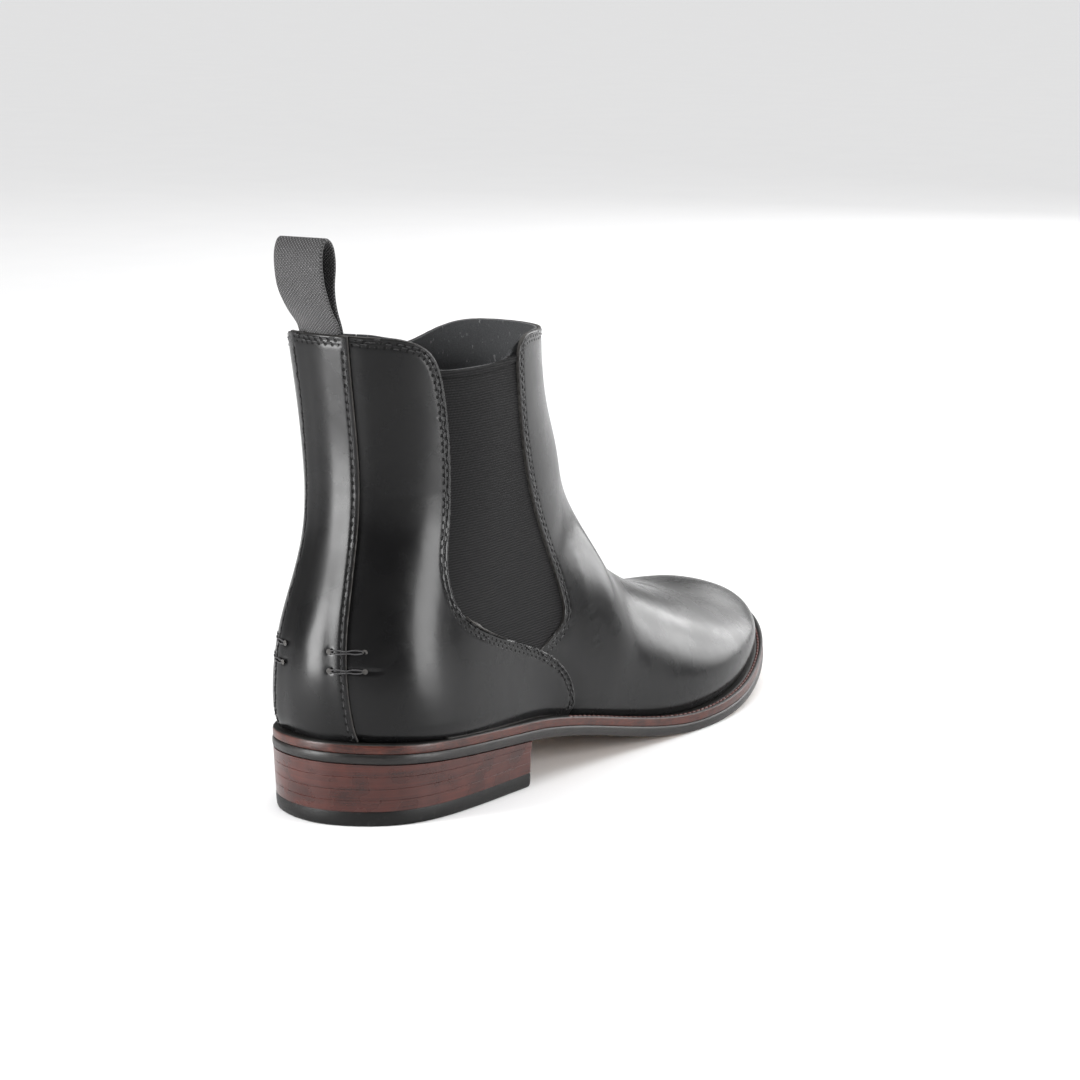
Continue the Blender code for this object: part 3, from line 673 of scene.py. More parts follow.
def build_quarter(side, word, finishes, thread):
    front = quarter_front()
    total = lengths(front)[-1]
    down = spaced(total, 0.8)[::-1]
    front = read_at(front, total - down)
    z = TOPLINE_BACK - (TOPLINE_BACK - float(feather_line(4))) * (down / total)
    under = 5.0
    rear = np.stack([back_depth(seam_at(side, z) - side * under, z), z], 1)
    rows = []
    for length in np.linalg.norm(front - rear, axis=1):
        scale = length / 60 if length < 24 else 1
        fine = np.array(FINE) * min(scale * 1.6, 1)
        away = np.concatenate([fine, np.linspace(fine[-1], length, 42)[1:]])
        rows.append(1 - away[::-1] / length)
    across = np.array(rows)
    view = coons(rear, front, on_feather(rear[0, 0], front[0, 0], across[0]),
                 between(rear[-1], front[-1], across[-1]), across)
    grid = surface(view, side)
    edge = Edge(quarter_edge_line(side), TWO_ROWS, start=1.0)
    edge.end = edge.along[-1] - 3.5
    away, _ = edge.measure(grid)
    from_seam = side * (grid[..., 0] - seam_at(side, grid[..., 2]))
    sunk = np.where(grid[..., 1] < 25, smooth_step(1 - from_seam / 5), 0)
    proud = smooth_step(1 - away / 16) * smooth_step((grid[..., 1] - 60) / 40)
    lift = 0.12 - 0.5 * sunk + 0.4 * proud
    dents = needle_dents(grid, [bar_end(side, z_bar, 1) for z_bar in BAR_HEIGHTS])
    skin = panel(f"quarter_{word}_leather", grid, lift, [edge], finishes, "quarter_" + word, dents=dents)
    sew(f"quarter_{word}_stitching", [(edge, skin)], thread)
    return edge


# Places in side view on the vamp's edge, each with the place on the front line that its row of points runs to
VAMP_PAIRS = [((86, 159.6), (121.5, 158)), ((77, 156.6), (121.7, 154.5)), ((79.4, 130), (128.2, 129)),
              ((93.4, 95.2), (141, 98)), ((104.2, 73), (149, 81)), ((106.8, 58), (156, 73)),
              ((100, 51.2), (166, 66)), ((88, 45.6), (178, 59.5)), ((91, 36.5), (185, 56.4)),
              ((98.4, 26), (192, 53.5)), ((98.4, 20), (197, 51.5))]


def both_sides(right, left):
    """One grid from the outer and the inner side's, which meet along the instep and close at the toe."""
    grid = np.concatenate([right, left[:, -2::-1]], axis=1)
    grid[-1] = grid[-1].mean(0)
    return grid


def vamp_grid(side):
    """One side's grid of points on the vamp, and its sewn edge in 3-D."""
    edge = smooth_path(VAMP_EDGE, 3000)
    edge = edge[edge[:, 1] > feather_line(edge[:, 0])]
    start_y = edge[-1, 0]
    edge[-1, 1] = feather_line(start_y)
    whole = np.concatenate([edge, on_feather(start_y, UPPER_LENGTH, slowing(1500))[1:]])
    whole_total, front_total = lengths(whole)[-1], lengths(instep_profile)[-1]
    pairs = np.array([[nearest_at(whole, a), nearest_at(instep_profile, b)] for a, b in VAMP_PAIRS])
    sewn_end = lengths(edge)[-1]
    fine = np.concatenate([FINE, np.arange(FINE[-1] + 0.8, sewn_end, 0.8)])
    tail = slowing(130)[1:]
    at = np.concatenate([fine, sewn_end + (whole_total - sewn_end) * tail])
    # The first rows keep their spacing as far as the front line, so that none turns back.
    held = np.minimum(fine, FINE[-1]) + 0.2 * np.maximum(fine - FINE[-1], 0)
    front_fine = np.maximum(np.interp(fine, pairs[:, 0], pairs[:, 1]), held)
    front_at = np.concatenate([front_fine, pairs[-1, 1] + (front_total - pairs[-1, 1]) * tail])
    left, right = read_at(whole, at), read_at(instep_profile, front_at)
    left[-1] = right[-1] = whole[-1]
    rows = []
    for length in np.maximum(np.linalg.norm(right - left, axis=1), 1e-6):
        fine_part = np.array(FINE) * min(length / 20, 1) / length
        rest = 1 - (1 - np.linspace(0, 1, 40)[1:]) ** 2
        rows.append(np.concatenate([fine_part, fine_part[-1] + (1 - fine_part[-1]) * rest]))
    across = np.array(rows)[..., None]
    return surface(left[:, None] * (1 - across) + right[:, None] * across, side), surface(edge, side)


def build_vamp(finishes, thread, quarter_edges):
    right, right_edge = vamp_grid(1)
    left, left_edge = vamp_grid(-1)
    grid = both_sides(right, left)
    top = np.concatenate([right[0], left[0, -2::-1]])
    edge = Edge(resample(np.concatenate([right_edge[::-1], top[1:-1], left_edge]), 0.25), TWO_ROWS)
    lowest = np.argmin(np.linalg.norm(right_edge[:, 1:] - np.array([94, 48.9]), axis=1))
    edge.start = lengths(right_edge)[-1] - lengths(right_edge)[lowest]
    edge.end = edge.along[-1] - edge.start
    lift = np.full(grid.shape[:2], 0.12)
    for quarter in quarter_edges:
        away, _ = quarter.measure(grid)
        signed = np.where(covered(grid[..., 1:]), -away, away)
        same_side = grid[..., 0] * quarter.line[len(quarter.line) // 2, 0] > 0
        sunk = 1.15 * smooth_step((4 - signed) / 6) * (signed > -20) * (away < 25)
        lift -= np.where(same_side, sunk, 0)
    skin = panel("vamp_leather", grid, lift, [edge], finishes, "vamp")
    sew("vamp_stitching", [(edge, skin)], thread)


def covered(side_view):
    """True where a place in side view lies under the quarter."""
    front = smooth_path(QUARTER_EDGE, 300)
    front = front[front[:, 1] < 70]
    order = np.argsort(front[:, 0])
    limit = np.interp(side_view[..., 0], front[order, 0], front[order, 1])
    forward = np.interp(side_view[..., 1], front[:, 1], front[:, 0])
    return (side_view[..., 1] < limit) & (side_view[..., 0] < forward)


def build_gore(side, word, elastic):
    """The elastic side panel, sunk behind the leather round it, with a folded hem along its top."""
    rear, front = smooth_path(GORE_BACK), smooth_path(GORE_FRONT)
    total = lengths(rear)[-1]
    share = (total - spaced(total, 1.0)[::-1]) / total
    rear, front = read_at(rear, share * total), read_at(front, share * lengths(front)[-1])
    spread = np.linspace(0, 1, 46)
    top = between(rear[-1], front[-1], spread)
    top[:, 1] -= 1.4 * np.sin(math.pi * spread)
    grid = surface(coons(rear, front, between(rear[0], front[0], spread), top, spread), side)
    edge = Edge(resample(grid[-1], 0.25), cut=0.7)
    away, _ = edge.measure(grid)
    hem = 0.5 * smooth_step((HEM_LINE + 0.3 - away) / 0.6) - 0.3 * np.exp(-((away - HEM_LINE) / 0.45) ** 2)
    swell = 0.5 * np.sin(math.pi * spread)[None] ** 0.7 * smooth_step((away - 5) / 12)
    panel(f"gore_{word}_elastic", grid, GORE_LIFT + hem + swell, [edge], [elastic, elastic], "gore_" + word,
          "elastic", thickness=1.4)


def build_linings(cloth):
    back_top = 164.3
    half_grip = 14.2
    z = np.linspace(float(feather_line(6)), back_top, 90)
    spread = np.linspace(0, 1, 90)
    front = between((105.7, feather_line(105.7)), (95, 159.2), spread)
    for side, word in SIDES:
        rear = np.stack([back_depth(side * (half_grip + 0.4) + TAB_CENTRE_X + 0 * z, z), z], 1)
        top = smooth_path([rear[-1], *LINING_TOP])
        top = read_at(top, np.linspace(0, lengths(top)[-1], len(spread)))
        view = coons(rear, front, on_feather(rear[0, 0], front[0, 0], spread), top, spread)
        grid = surface(view, side)
        lining_panel("lining_" + word, grid, lining_depth(grid, grid[-1]), cloth, "quarter_lining_" + word)
    z = np.linspace(float(feather_line(6)), back_top, 60)[:, None]
    x, z = np.broadcast_arrays(TAB_CENTRE_X + half_grip * np.linspace(-1, 1, 24), z)
    grid = np.stack([x, back_depth(x, z), z], -1)
    lining_panel("heel_grip_lining", grid, np.full(grid.shape[:2], 3.95), cloth, "heel_grip")

    tail = slowing(80)[1:]
    edge = np.concatenate([between((94.6, 159.1), (106.3, feather_line(106.3)), np.linspace(0, 1, 60)),
                           on_feather(106.3, UPPER_LENGTH, tail)])
    bend = nearest_at(instep_profile, (172, 63))
    at = np.concatenate([np.linspace(0, bend, 60), bend + (lengths(instep_profile)[-1] - bend) * tail])
    ridge = read_at(instep_profile, at)
    ridge[-1] = edge[-1]
    spread = 1 - (1 - np.linspace(0, 1, 36)) ** 2
    view = edge[:, None] * (1 - spread[None, :, None]) + ridge[:, None] * spread[None, :, None]
    grid = both_sides(surface(view, 1), surface(view, -1))
    lining_panel("vamp_lining_cloth", grid, lining_depth(grid, grid[0]), cloth, "vamp_lining")


def lining_depth(grid, top):
    """Depth of a lining: just under the leather along the top line, deeper by the gore and the pull tab."""
    away, _ = Edge(resample(top, 0.4)).measure(grid)
    x, y = grid[..., 0], grid[..., 1]
    by_gore = smooth_step((80 - y) / 5) * smooth_step((y - 26) / 5)
    at_tab = smooth_step((26 - np.abs(x - TAB_CENTRE_X)) / 8) * smooth_step((30 - y) / 6)
    shallow = smooth_step((14 - away) / 12) * (1 - by_gore) * (1 - at_tab)
    return 3.3 - 1.9 * shallow + 0.6 * at_tab


def lining_panel(name, grid, depth, cloth, node, thickness=0.8):
    normals = normals_of(grid)
    inner = grid - normals * (depth + thickness)[..., None]
    points, front, rest = shell(grid - normals * depth[..., None], inner)
    add(name, points, front + rest, [cloth], "lining", node)


# --- Pull tab and bar stitches ---


def build_pull_tab(webbing):
    """The webbing loop, whose sewn ends stay in the boot."""
    line = resample(smooth_path(TAB_LOOP, 2000), 0.7)
    along = unit(np.gradient(line, axis=0))
    normal = np.stack([-along[:, 1], along[:, 0]], 1)
    thick = TAB_THICKNESS / 2
    straight = TAB_WIDTH / 2 - TAB_CORNER
    flat = np.linspace(-straight, straight, 22)
    turns = np.linspace(-math.pi / 2, math.pi / 2, 7)[1:-1]
    section = [(x, thick) for x in flat]
    section += [(straight + TAB_CORNER * math.cos(t), -thick * math.sin(t)) for t in turns]
    section += [(x, -thick) for x in flat[::-1]]
    section += [(-straight - TAB_CORNER * math.cos(t), thick * math.sin(t)) for t in turns]
    across, rise = np.array(section).T
    # The sewn ends follow the curve of the boot's back.
    level = TAB_REST + 0 * across
    bow = back_depth(TAB_CENTRE_X + across, level) - back_depth(TAB_CENTRE_X + 0 * across, level)
    held = smooth_step((TAB_FREE - line[:, 1]) / 18)[:, None]
    x = TAB_CENTRE_X + across + 0 * held
    y = line[:, :1] + normal[:, :1] * rise + held * bow
    z = line[:, 1:] + normal[:, 1:] * rise
    fields = {"across": across + 0 * held, "along": lengths(line)[:, None] + 0 * x}
    made = add("pull_tab_webbing", np.stack([x, y, z], -1), tube_faces(*x.shape), [webbing], sharp=60,
               attributes=fields, body=None)
    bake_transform(made)
    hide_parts("pull_tab")


# A pricked needle hole: radius and height of each ring of points
EYELET = [(0.62, -0.5), (0.95, 0.02), (0.62, 0.14), (0.1, -0.1)]


def take_eyelet(batch, centre, proud):
    """A dark ring round a bar stitch's needle hole, standing proud of the surface."""
    out = unit(np.array([centre[0] * 0.9, centre[1] - 36, 0]))
    across = np.cross(out, [0, 0, 1])
    turns = np.linspace(0, 2 * math.pi, 17)[:-1, None]
    circle = np.cos(turns) * across + np.sin(turns) * np.array([0, 0, 1])
    rings = [centre + radius * circle + out * (proud + height) for radius, height in EYELET]
    batch.take(np.concatenate(rings), tube_faces(len(EYELET), len(turns)), 1)


def take_bar_thread(batch, side, z, offset):
    """One of a bar stitch's two threads, from its hole in the strip to its hole in the quarter."""
    share = np.linspace(0, 1, len(offset))
    height = z + offset
    start, end = bar_end(side, z, 0), bar_end(side, z, 1)
    x = start[0] + (end[0] - start[0]) * share
    line = np.stack([x, back_depth(x, height), height], 1)
    out = unit(np.stack([x * 0.9, line[:, 1] - 36, 0 * height], 1))
    over_strip = 0.85 * smooth_step((0.62 - share) / 0.16)
    rise = -0.75 + 0.95 * smooth_step(np.minimum(share, 1 - share) / 0.1) + over_strip
    line = line + out * rise[:, None]
    along = unit(np.gradient(line, axis=0))
    first = unit(np.cross(along, [0.1, 0.2, 1]))[:, None]
    second = np.cross(along, first[:, 0])[:, None]
    turns = np.linspace(0, 2 * math.pi, 8, endpoint=False)[None, :, None]
    rings = line[:, None] + BAR_THREAD_RADIUS * (np.cos(turns) * first + np.sin(turns) * second)
    batch.take(rings.reshape(-1, 3), tube_faces(*rings.shape[:2]))


def build_bar_stitches(thread, dark):
    """Two threads drawn together over the back seam, from a needle hole on each side."""
    spread = 0.35 + 0.3 * np.sin(2 * math.pi * np.linspace(0, 1, 33)) ** 2
    for side, word in SIDES:
        for z, level in zip(BAR_HEIGHTS, ("upper", "lower")):
            batch = Batch()
            for turn in (-1, 1):
                take_bar_thread(batch, side, z, turn * spread)
            take_eyelet(batch, bar_end(side, z, 0), 0.86)
            take_eyelet(batch, bar_end(side, z, 1), 0.0)
            batch.add(f"bar_stitch_{word}_{level}_thread", [thread, dark], f"bar_stitch_{word}_{level}")


# --- Sole ---


def sole_outline(inset):
    return inset_loop(inset, 361)


def heel_outline(inset, radius=2.2):
    """The heel's outline: round the back, then straight across the breast with rounded corners."""
    breast = HEEL_LENGTH - 0.4
    turns = np.linspace(0, math.pi / 2, 8)
    halves = []
    for line in sole_outline(inset):
        sign = 1 if line[20, 0] > 0 else -1
        side = line[line[:, 1] < breast - radius]
        corner_x = np.interp(breast - radius, line[:, 1], line[:, 0])
        corner_y = breast - radius + radius * np.sin(turns)
        corner = np.stack([corner_x - sign * radius * (1 - np.cos(turns)), corner_y], 1)
        straight = np.linspace(corner[-1, 0], 1.5, 16)[1:]
        halves.append(np.concatenate([side, corner, np.stack([straight, np.full(15, breast)], 1)]))
    return halves


def cap_faces(before, row):
    """Faces between two rows of a cap, of which either may be a single point."""
    if len(before) == 1:
        return [[before[0], a, b] for a, b in zip(row, row[1:])]
    if len(row) == 1:
        return [[a, b, row[0]] for a, b in zip(before, before[1:])]
    return [[before[k], row[k], row[k + 1], before[k + 1]] for k in range(len(row) - 1)]


def layer(name, outline, profile, low, high, finishes, slot, columns=14, cap_choice=0, sharp=50):
    """A sole layer. profile holds (inset, height share) from the lower cap's edge up to the upper's. The node
    it stands for has its name without the last word."""
    loops = []
    for inset, share in profile:
        halves = outline(inset)
        loop = closed_loop(halves)
        z = low(loop[:, 1]) * (1 - share) + high(loop[:, 1]) * share
        loops.append(np.column_stack([loop, z]))
    n = len(loops[0])
    points = np.concatenate(loops).tolist()
    faces = ring_faces(len(loops), n)
    choice = [0] * len(faces)
    share = np.linspace(0, 1, columns)[1:-1, None]
    for ring, height, finish in ((0, low, cap_choice), (len(loops) - 1, high, 0)):
        loop = loops[ring]
        before = None
        for i in range(len(halves[0])):
            opposite = (n - i) % n
            row = [ring * n + i]
            if opposite != i:
                inner = loop[i] * (1 - share) + loop[opposite] * share
                inner[:, 2] = height(inner[:, 1])
                row += [*range(len(points), len(points) + len(inner)), ring * n + opposite]
                points += inner.tolist()
            if before is not None:
                faces += cap_faces(before, row)
            before = row
        choice += [finish] * (len(faces) - len(choice))
    add(name, points, faces, finishes, slot, name.rsplit("_", 1)[0], choice, sharp)


def above_sole(offset):
    return lambda y: sole_bottom(y) + offset


def flat_at(height):
    return lambda y: np.full_like(np.asarray(y, float), height)


def seam_inset(y):
    """How far the welt's seam lies inside the sole's outline."""
    return 0.55 * welt_margin(y) + 0.35


def groove_inset(offset):
    """The outline of one line of the welt's groove, at a distance from its seam."""
    least = 1.1 + 0.1 * (offset + 0.75)
    return lambda y: np.maximum(seam_inset(y) + offset, least)


def build_welt(edge_brown, top_black, thread):
    """The welt: a strip with a rounded edge and, round the forepart, a sewn groove in its top."""
    low = OUTSOLE_THICKNESS + 0.1
    high = OUTSOLE_THICKNESS + GAP + WELT_THICKNESS
    # Inset and height of each line round the strip, and how much the groove lowers it round the forepart
    edge = [(0.55, low, 0), (0.25, low + 0.3, 0), (0.2, low + 0.8, 0), (0.2, high - 0.9, 0),
            (0.3, high - 0.4, 0), (0.6, high - 0.12, 0), (1.0, high, 0)]
    groove = [(groove_inset(offset), high, depth)
              for offset, depth in ((-0.75, 0), (-0.4, 0.3), (0, 0.42), (0.4, 0.3), (0.75, 0))]
    shelf = [(lambda y: np.maximum(seam_inset(y) + 1.4, 2.2), high, 0), (11, high, 0), (11, low, 0)]
    fore = smooth_step((closed_loop(inset_loop(edge[0][0], 721))[:, 1] - 96) / 12)
    rings = []
    for inset, height, depth in edge + groove + shelf:
        loop = closed_loop(inset_loop(inset, 721))
        rings.append(np.column_stack([loop, sole_bottom(loop[:, 1]) + height - depth * fore]))
    n = len(fore)
    edge_rings = 4
    choice = [0] * edge_rings * n + [1] * (len(rings) - edge_rings) * n
    faces = ring_faces(len(rings), n, around=True)
    add("welt_strip", np.concatenate(rings), faces, [edge_brown, top_black], "welt_leather", "welt",
        choice, sharp=45)

    outer, inner = (side[side[:, 1] > WELT_SEAM_START] for side in inset_loop(seam_inset, 2001))
    line = np.concatenate([outer, inner[-2::-1]])
    line = np.column_stack([line, sole_bottom(line[:, 1]) + high - 0.15])
    at = np.arange(2, lengths(line)[-1] - 2, WELT_PITCH)
    batch = Batch()
    upwards = np.array([0, 0, 1.0])
    for centre, along in zip(read_at(line, at), tangents_at(line, at)):
        take_bead(batch, centre, along, upwards, WELT_PITCH * 0.47, WELT_THREAD_RADIUS)
    batch.add("welt_stitching", [thread])


def build_sole(finishes):
    layer("outsole_leather", sole_outline,
          [(0.9, 0), (0.45, 0.06), (0.12, 0.22), (0, 0.45), (0, 0.7), (0.12, 0.9), (0.4, 1)],
          above_sole(0), above_sole(OUTSOLE_THICKNESS), [finishes["sole_edge"], finishes["sole_bottom"]],
          "sole_leather", columns=24, cap_choice=1)
    build_welt(finishes["welt_edge"], finishes["welt_top"], finishes["welt_thread"])
    bottom = TOP_PIECE_THICKNESS
    middle = bottom + LIFT_THICKNESS + GAP
    flat_top = bottom + 2 * (LIFT_THICKNESS + GAP)

    def wedge(share, offset):
        return lambda y: flat_top + share * (sole_bottom(y) - flat_top) + offset

    fine = 0.02
    lifts = [(4, flat_at(bottom + fine), flat_at(middle - fine), 1.1, 0.9),
             (3, flat_at(middle + fine), flat_at(flat_top - fine), 0.9, 0.7),
             (2, wedge(0, fine), wedge(0.5, -fine), 0.7, 0.5),
             (1, wedge(0.5, fine), wedge(1, -fine), 0.5, 0.3)]
    for number, low, high, foot, head in lifts:
        layer(f"heel_lift_{number}_leather", heel_outline,
              [(foot + 0.06, 0), (foot, 0.02), (head, 0.98), (head + 0.06, 1)],
              low, high, [finishes["stack"]], "heel_leather", sharp=20)
    rubber_edge = [(0.9, 0), (0.4, 0.06), (0.08, 0.2), (-0.1, 0.45), (-0.15, 0.9), (0, 1)]
    layer("heel_top_piece_rubber", heel_outline,
          [(HEEL_TAPER + inset, share) for inset, share in rubber_edge],
          flat_at(0), flat_at(bottom - fine), [finishes["rubber"]], "rubber")
    sock_low = OUTSOLE_THICKNESS + WELT_THICKNESS + 5.7
    layer("sock_liner_cloth", sole_outline, [(10.4, 0), (10.1, 0.5), (10.4, 1)],
          above_sole(sock_low), above_sole(sock_low + 1.2), [finishes["lining"]], "lining", columns=20)


# --- Materials ---


class Shader:
    """Builds one node material, a line for each node."""

    def __init__(self, name):
        self.material = bpy.data.materials.new(name)
        self.material.use_nodes = True
        self.tree = self.material.node_tree
        self.surface = self.tree.nodes["Principled BSDF"]
        self.place = self.node("ShaderNodeTexCoord").outputs["Object"]

    def node(self, kind, **settings):
        made = self.tree.nodes.new(kind)
        for key, value in settings.items():
            setattr(made, key, value)
        return made

    def link(self, source, target):
        """Joins a socket to the target, or sets the target to a number or a colour."""
        if isinstance(source, tuple):
            target.default_value = (*source, 1)
        elif isinstance(source, (int, float)):
            target.default_value = source
        else:
            self.tree.links.new(source, target)

    def math(self, operation, a, b=0.0, clamp=False):
        made = self.node("ShaderNodeMath", operation=operation, use_clamp=clamp)
        self.link(a, made.inputs[0])
        self.link(b, made.inputs[1])
        return made.outputs[0]

    def plus(self, a, b, clamp=False):
        return self.math("ADD", a, b, clamp)

    def minus(self, a, b):
        return self.math("SUBTRACT", a, b)

    def times(self, a, b):
        return self.math("MULTIPLY", a, b)

    def wave(self, value, pitch):
        """A sine from -1 to 1 that repeats at every pitch, in the value's own unit."""
        return self.math("SINE", self.times(value, 2 * math.pi / pitch))

    def texture(self, kind, size_mm, stretch, **settings):
        moved = self.node("ShaderNodeVectorMath", operation="MULTIPLY")
        self.link(self.place, moved.inputs[0])
        moved.inputs[1].default_value = stretch
        made = self.node(kind, **settings)
        self.link(moved.outputs[0], made.inputs["Vector"])
        made.inputs["Scale"].default_value = 1 / (size_mm * MM)
        return made

    def noise(self, size_mm, detail=3.0, roughness=0.55, stretch=(1, 1, 1)):
        """Noise whose blotches are about size_mm across, from 0 to 1."""
        made = self.texture("ShaderNodeTexNoise", size_mm, stretch)
        made.inputs["Detail"].default_value = detail
        made.inputs["Roughness"].default_value = roughness
        return made.outputs["Fac"]

    def cells(self, size_mm):
        return self.texture("ShaderNodeTexVoronoi", size_mm, (1, 1, 1)).outputs["Distance"]

    def attribute(self, name):
        return self.node("ShaderNodeAttribute", attribute_name=name).outputs["Fac"]

    def axis(self, name):
        apart = self.node("ShaderNodeSeparateXYZ")
        self.link(self.place, apart.inputs[0])
        return apart.outputs[name]

    def remap(self, value, low, high, to_low=0.0, to_high=1.0):
        made = self.node("ShaderNodeMapRange", interpolation_type="SMOOTHSTEP")
        self.link(value, made.inputs["Value"])
        made.inputs["From Min"].default_value = low
        made.inputs["From Max"].default_value = high
        self.link(to_low, made.inputs["To Min"])
        self.link(to_high, made.inputs["To Max"])
        return made.outputs["Result"]

    def mix(self, share, a, b):
        made = self.node("ShaderNodeMix", data_type="RGBA")
        self.link(share, made.inputs["Factor"])
        self.link(a, made.inputs[6])
        self.link(b, made.inputs[7])
        return made.outputs[2]

    def finish(self, colour, roughness, bump, depth_mm, specular=0.5, coat=0.0, coat_roughness=0.1,
               sheen=0.0, metallic=0.0):
        self.link(colour, self.surface.inputs["Base Color"])
        self.link(roughness, self.surface.inputs["Roughness"])
        constants = {"Specular IOR Level": specular, "Coat Weight": coat, "Coat Roughness": coat_roughness,
                     "Sheen Weight": sheen, "Metallic": metallic}
        for socket, value in constants.items():
            self.surface.inputs[socket].default_value = value
        made = self.node("ShaderNodeBump")
        self.link(bump, made.inputs["Height"])
        made.inputs["Distance"].default_value = depth_mm * MM
        made.inputs["Strength"].default_value = 1.0
        self.link(made.outputs[0], self.surface.inputs["Normal"])
        return self.material


def needle_holes(s):
    """Mask of the sewing holes beside a panel's edge: one row of them or two staggered rows. The leather uses it
    to sink the holes and darken them with painted shade.
    """
    away = s.attribute("edge_distance")
    step = s.times(s.attribute("edge_along"), 1 / STITCH_PITCH)
    holes_and_shade = None
    for row, phase, kind in ((FIRST_ROW, 0.0, "sewn_twice"), (SECOND_ROW, 0.5, "sewn_twice"),
                             (STRIP_ROW, 0.0, "sewn_once")):
        share = s.minus(s.math("FRACT", s.plus(step, phase + 0.5)), 0.5)
        off_along = s.times(share, STITCH_PITCH * 0.85)
        off_across = s.minus(away, row)
        reach = s.math("SQRT", s.plus(s.math("POWER", s.math("ABSOLUTE", off_along), 2.0),
                                      s.math("POWER", s.math("ABSOLUTE", off_across), 2.0)))
        hole = s.times(s.remap(reach, 0.3, 0.58, 1.0, 0.0), s.attribute(kind))
        holes_and_shade = hole if holes_and_shade is None else s.math("MAXIMUM", holes_and_shade, hole)
    return holes_and_shade


def black_leather():
    """Polished box calf: nearly black, faint grain, soft creases; painted shade in the needle holes; cut edges
    paler, partly raw grey and partly painted highlight.
    """
    s = Shader("black_calf")
    grain = s.cells(0.5)
    pores = s.noise(0.28, 2)
    patches = s.noise(22, 3)
    waves = s.noise(16, 2, 0.5)
    edge = s.remap(s.attribute("edge_distance"), 0.0, 0.5, 1.0, 0.0)
    holes_and_shade = needle_holes(s)
    colour = s.mix(patches, (0.0028, 0.0028, 0.0031), (0.0045, 0.0044, 0.0045))
    # Painted highlight: within 0.5 mm of a cut edge the colour turns paler, partly the raw edge's own grey and
    # partly a highlight along the rounded edge.
    colour = s.mix(edge, colour, (0.022, 0.021, 0.02))
    # Painted shade: the colour darkens in the needle holes.
    colour = s.mix(holes_and_shade, colour, (0.0008, 0.0008, 0.0008))
    roughness = s.plus(s.remap(patches, 0.3, 0.7, 0.2, 0.3), s.times(pores, 0.05))
    roughness = s.plus(roughness, s.times(holes_and_shade, 0.5), True)
    height = s.plus(s.times(grain, 0.02), s.times(pores, 0.018))
    height = s.plus(height, s.times(waves, 0.5))
    height = s.minus(height, s.times(holes_and_shade, 1.3))
    return s.finish(colour, roughness, height, 0.35, specular=0.2, coat=0.03, coat_roughness=0.12)


def raw_edge():
    """The cut edge and flesh side of the upper leather, inked dark and a little fibrous."""
    s = Shader("inked_edge")
    fibres = s.noise(0.3, 4)
    colour = s.mix(fibres, (0.012, 0.011, 0.01), (0.05, 0.046, 0.042))
    return s.finish(colour, 0.62, fibres, 0.15)


def elastic_weave():
    """Ribbed elastic: level ribs, each wrapped by short crossing threads, with a line of painted shade along the
    hem's groove.
    """
    s = Shader("ribbed_elastic")
    across = s.axis("Y")
    up = s.axis("Z")
    bend = s.times(s.noise(14, 1), 0.0006)
    rib = s.wave(s.plus(up, bend), RIB_PITCH * MM)
    wrap = s.wave(s.plus(across, s.times(up, 0.25)), WRAP_PITCH * MM)
    lint = s.noise(0.35, 3)
    tall = s.plus(s.times(rib, 0.5), s.times(wrap, 0.16))
    shade = s.remap(s.plus(tall, s.times(lint, 0.35)), -0.5, 0.7)
    hem = s.remap(s.math("ABSOLUTE", s.minus(s.attribute("edge_distance"), HEM_LINE)), 0.15, 0.5, 1.0, 0.0)
    colour = s.mix(shade, (0.0015, 0.0015, 0.0016), (0.0085, 0.0082, 0.0086))
    # Painted shade: the colour darkens along the groove at the hem line.
    colour = s.mix(hem, colour, (0.0015, 0.0015, 0.0015))
    return s.finish(colour, 0.75, tall, 0.14, specular=0.1, sheen=0.02)


def webbing_twill():
    """Twill webbing: small raised dots in rows at 45 degrees, with lint."""
    s = Shader("webbing_twill")
    across = s.attribute("across")
    along = s.attribute("along")
    rise = s.wave(s.plus(along, across), TWILL_PITCH)
    cross = s.wave(s.minus(along, across), TWILL_PITCH)
    dots = s.times(s.plus(rise, 1.0), s.plus(cross, 1.0))
    lint = s.noise(0.3, 3)
    shade = s.plus(s.times(dots, 0.25), s.times(s.minus(lint, 0.5), 0.5))
    colour = s.mix(s.remap(shade, 0.0, 0.85), (0.014, 0.0135, 0.014), (0.1, 0.098, 0.1))
    return s.finish(colour, 0.6, dots, 0.09, specular=0.4, sheen=0.1)


def lining_cloth():
    """Brushed lining: dark and matte, with paler lint."""
    s = Shader("brushed_lining")
    nap = s.noise(0.45, 4, 0.7)
    lint = s.remap(s.noise(1.1, 3, 0.6, (1, 1, 0.35)), 0.62, 0.72)
    colour = s.mix(nap, (0.02, 0.021, 0.0225), (0.085, 0.087, 0.09))
    colour = s.mix(lint, colour, (0.17, 0.17, 0.172))
    return s.finish(colour, 0.9, nap, 0.3, specular=0.2, sheen=0.2)


def twisted_thread(name, dark, pale, roughness=0.5):
    """Waxed sewing thread with its plies twisted."""
    s = Shader(name)
    ply = s.wave(s.plus(s.plus(s.axis("X"), s.axis("Y")), s.axis("Z")), PLY_PITCH * MM)
    lint = s.noise(0.25, 2)
    colour = s.mix(s.plus(s.times(ply, 0.25), lint, True), dark, pale)
    return s.finish(colour, roughness, ply, 0.03, specular=0.4)


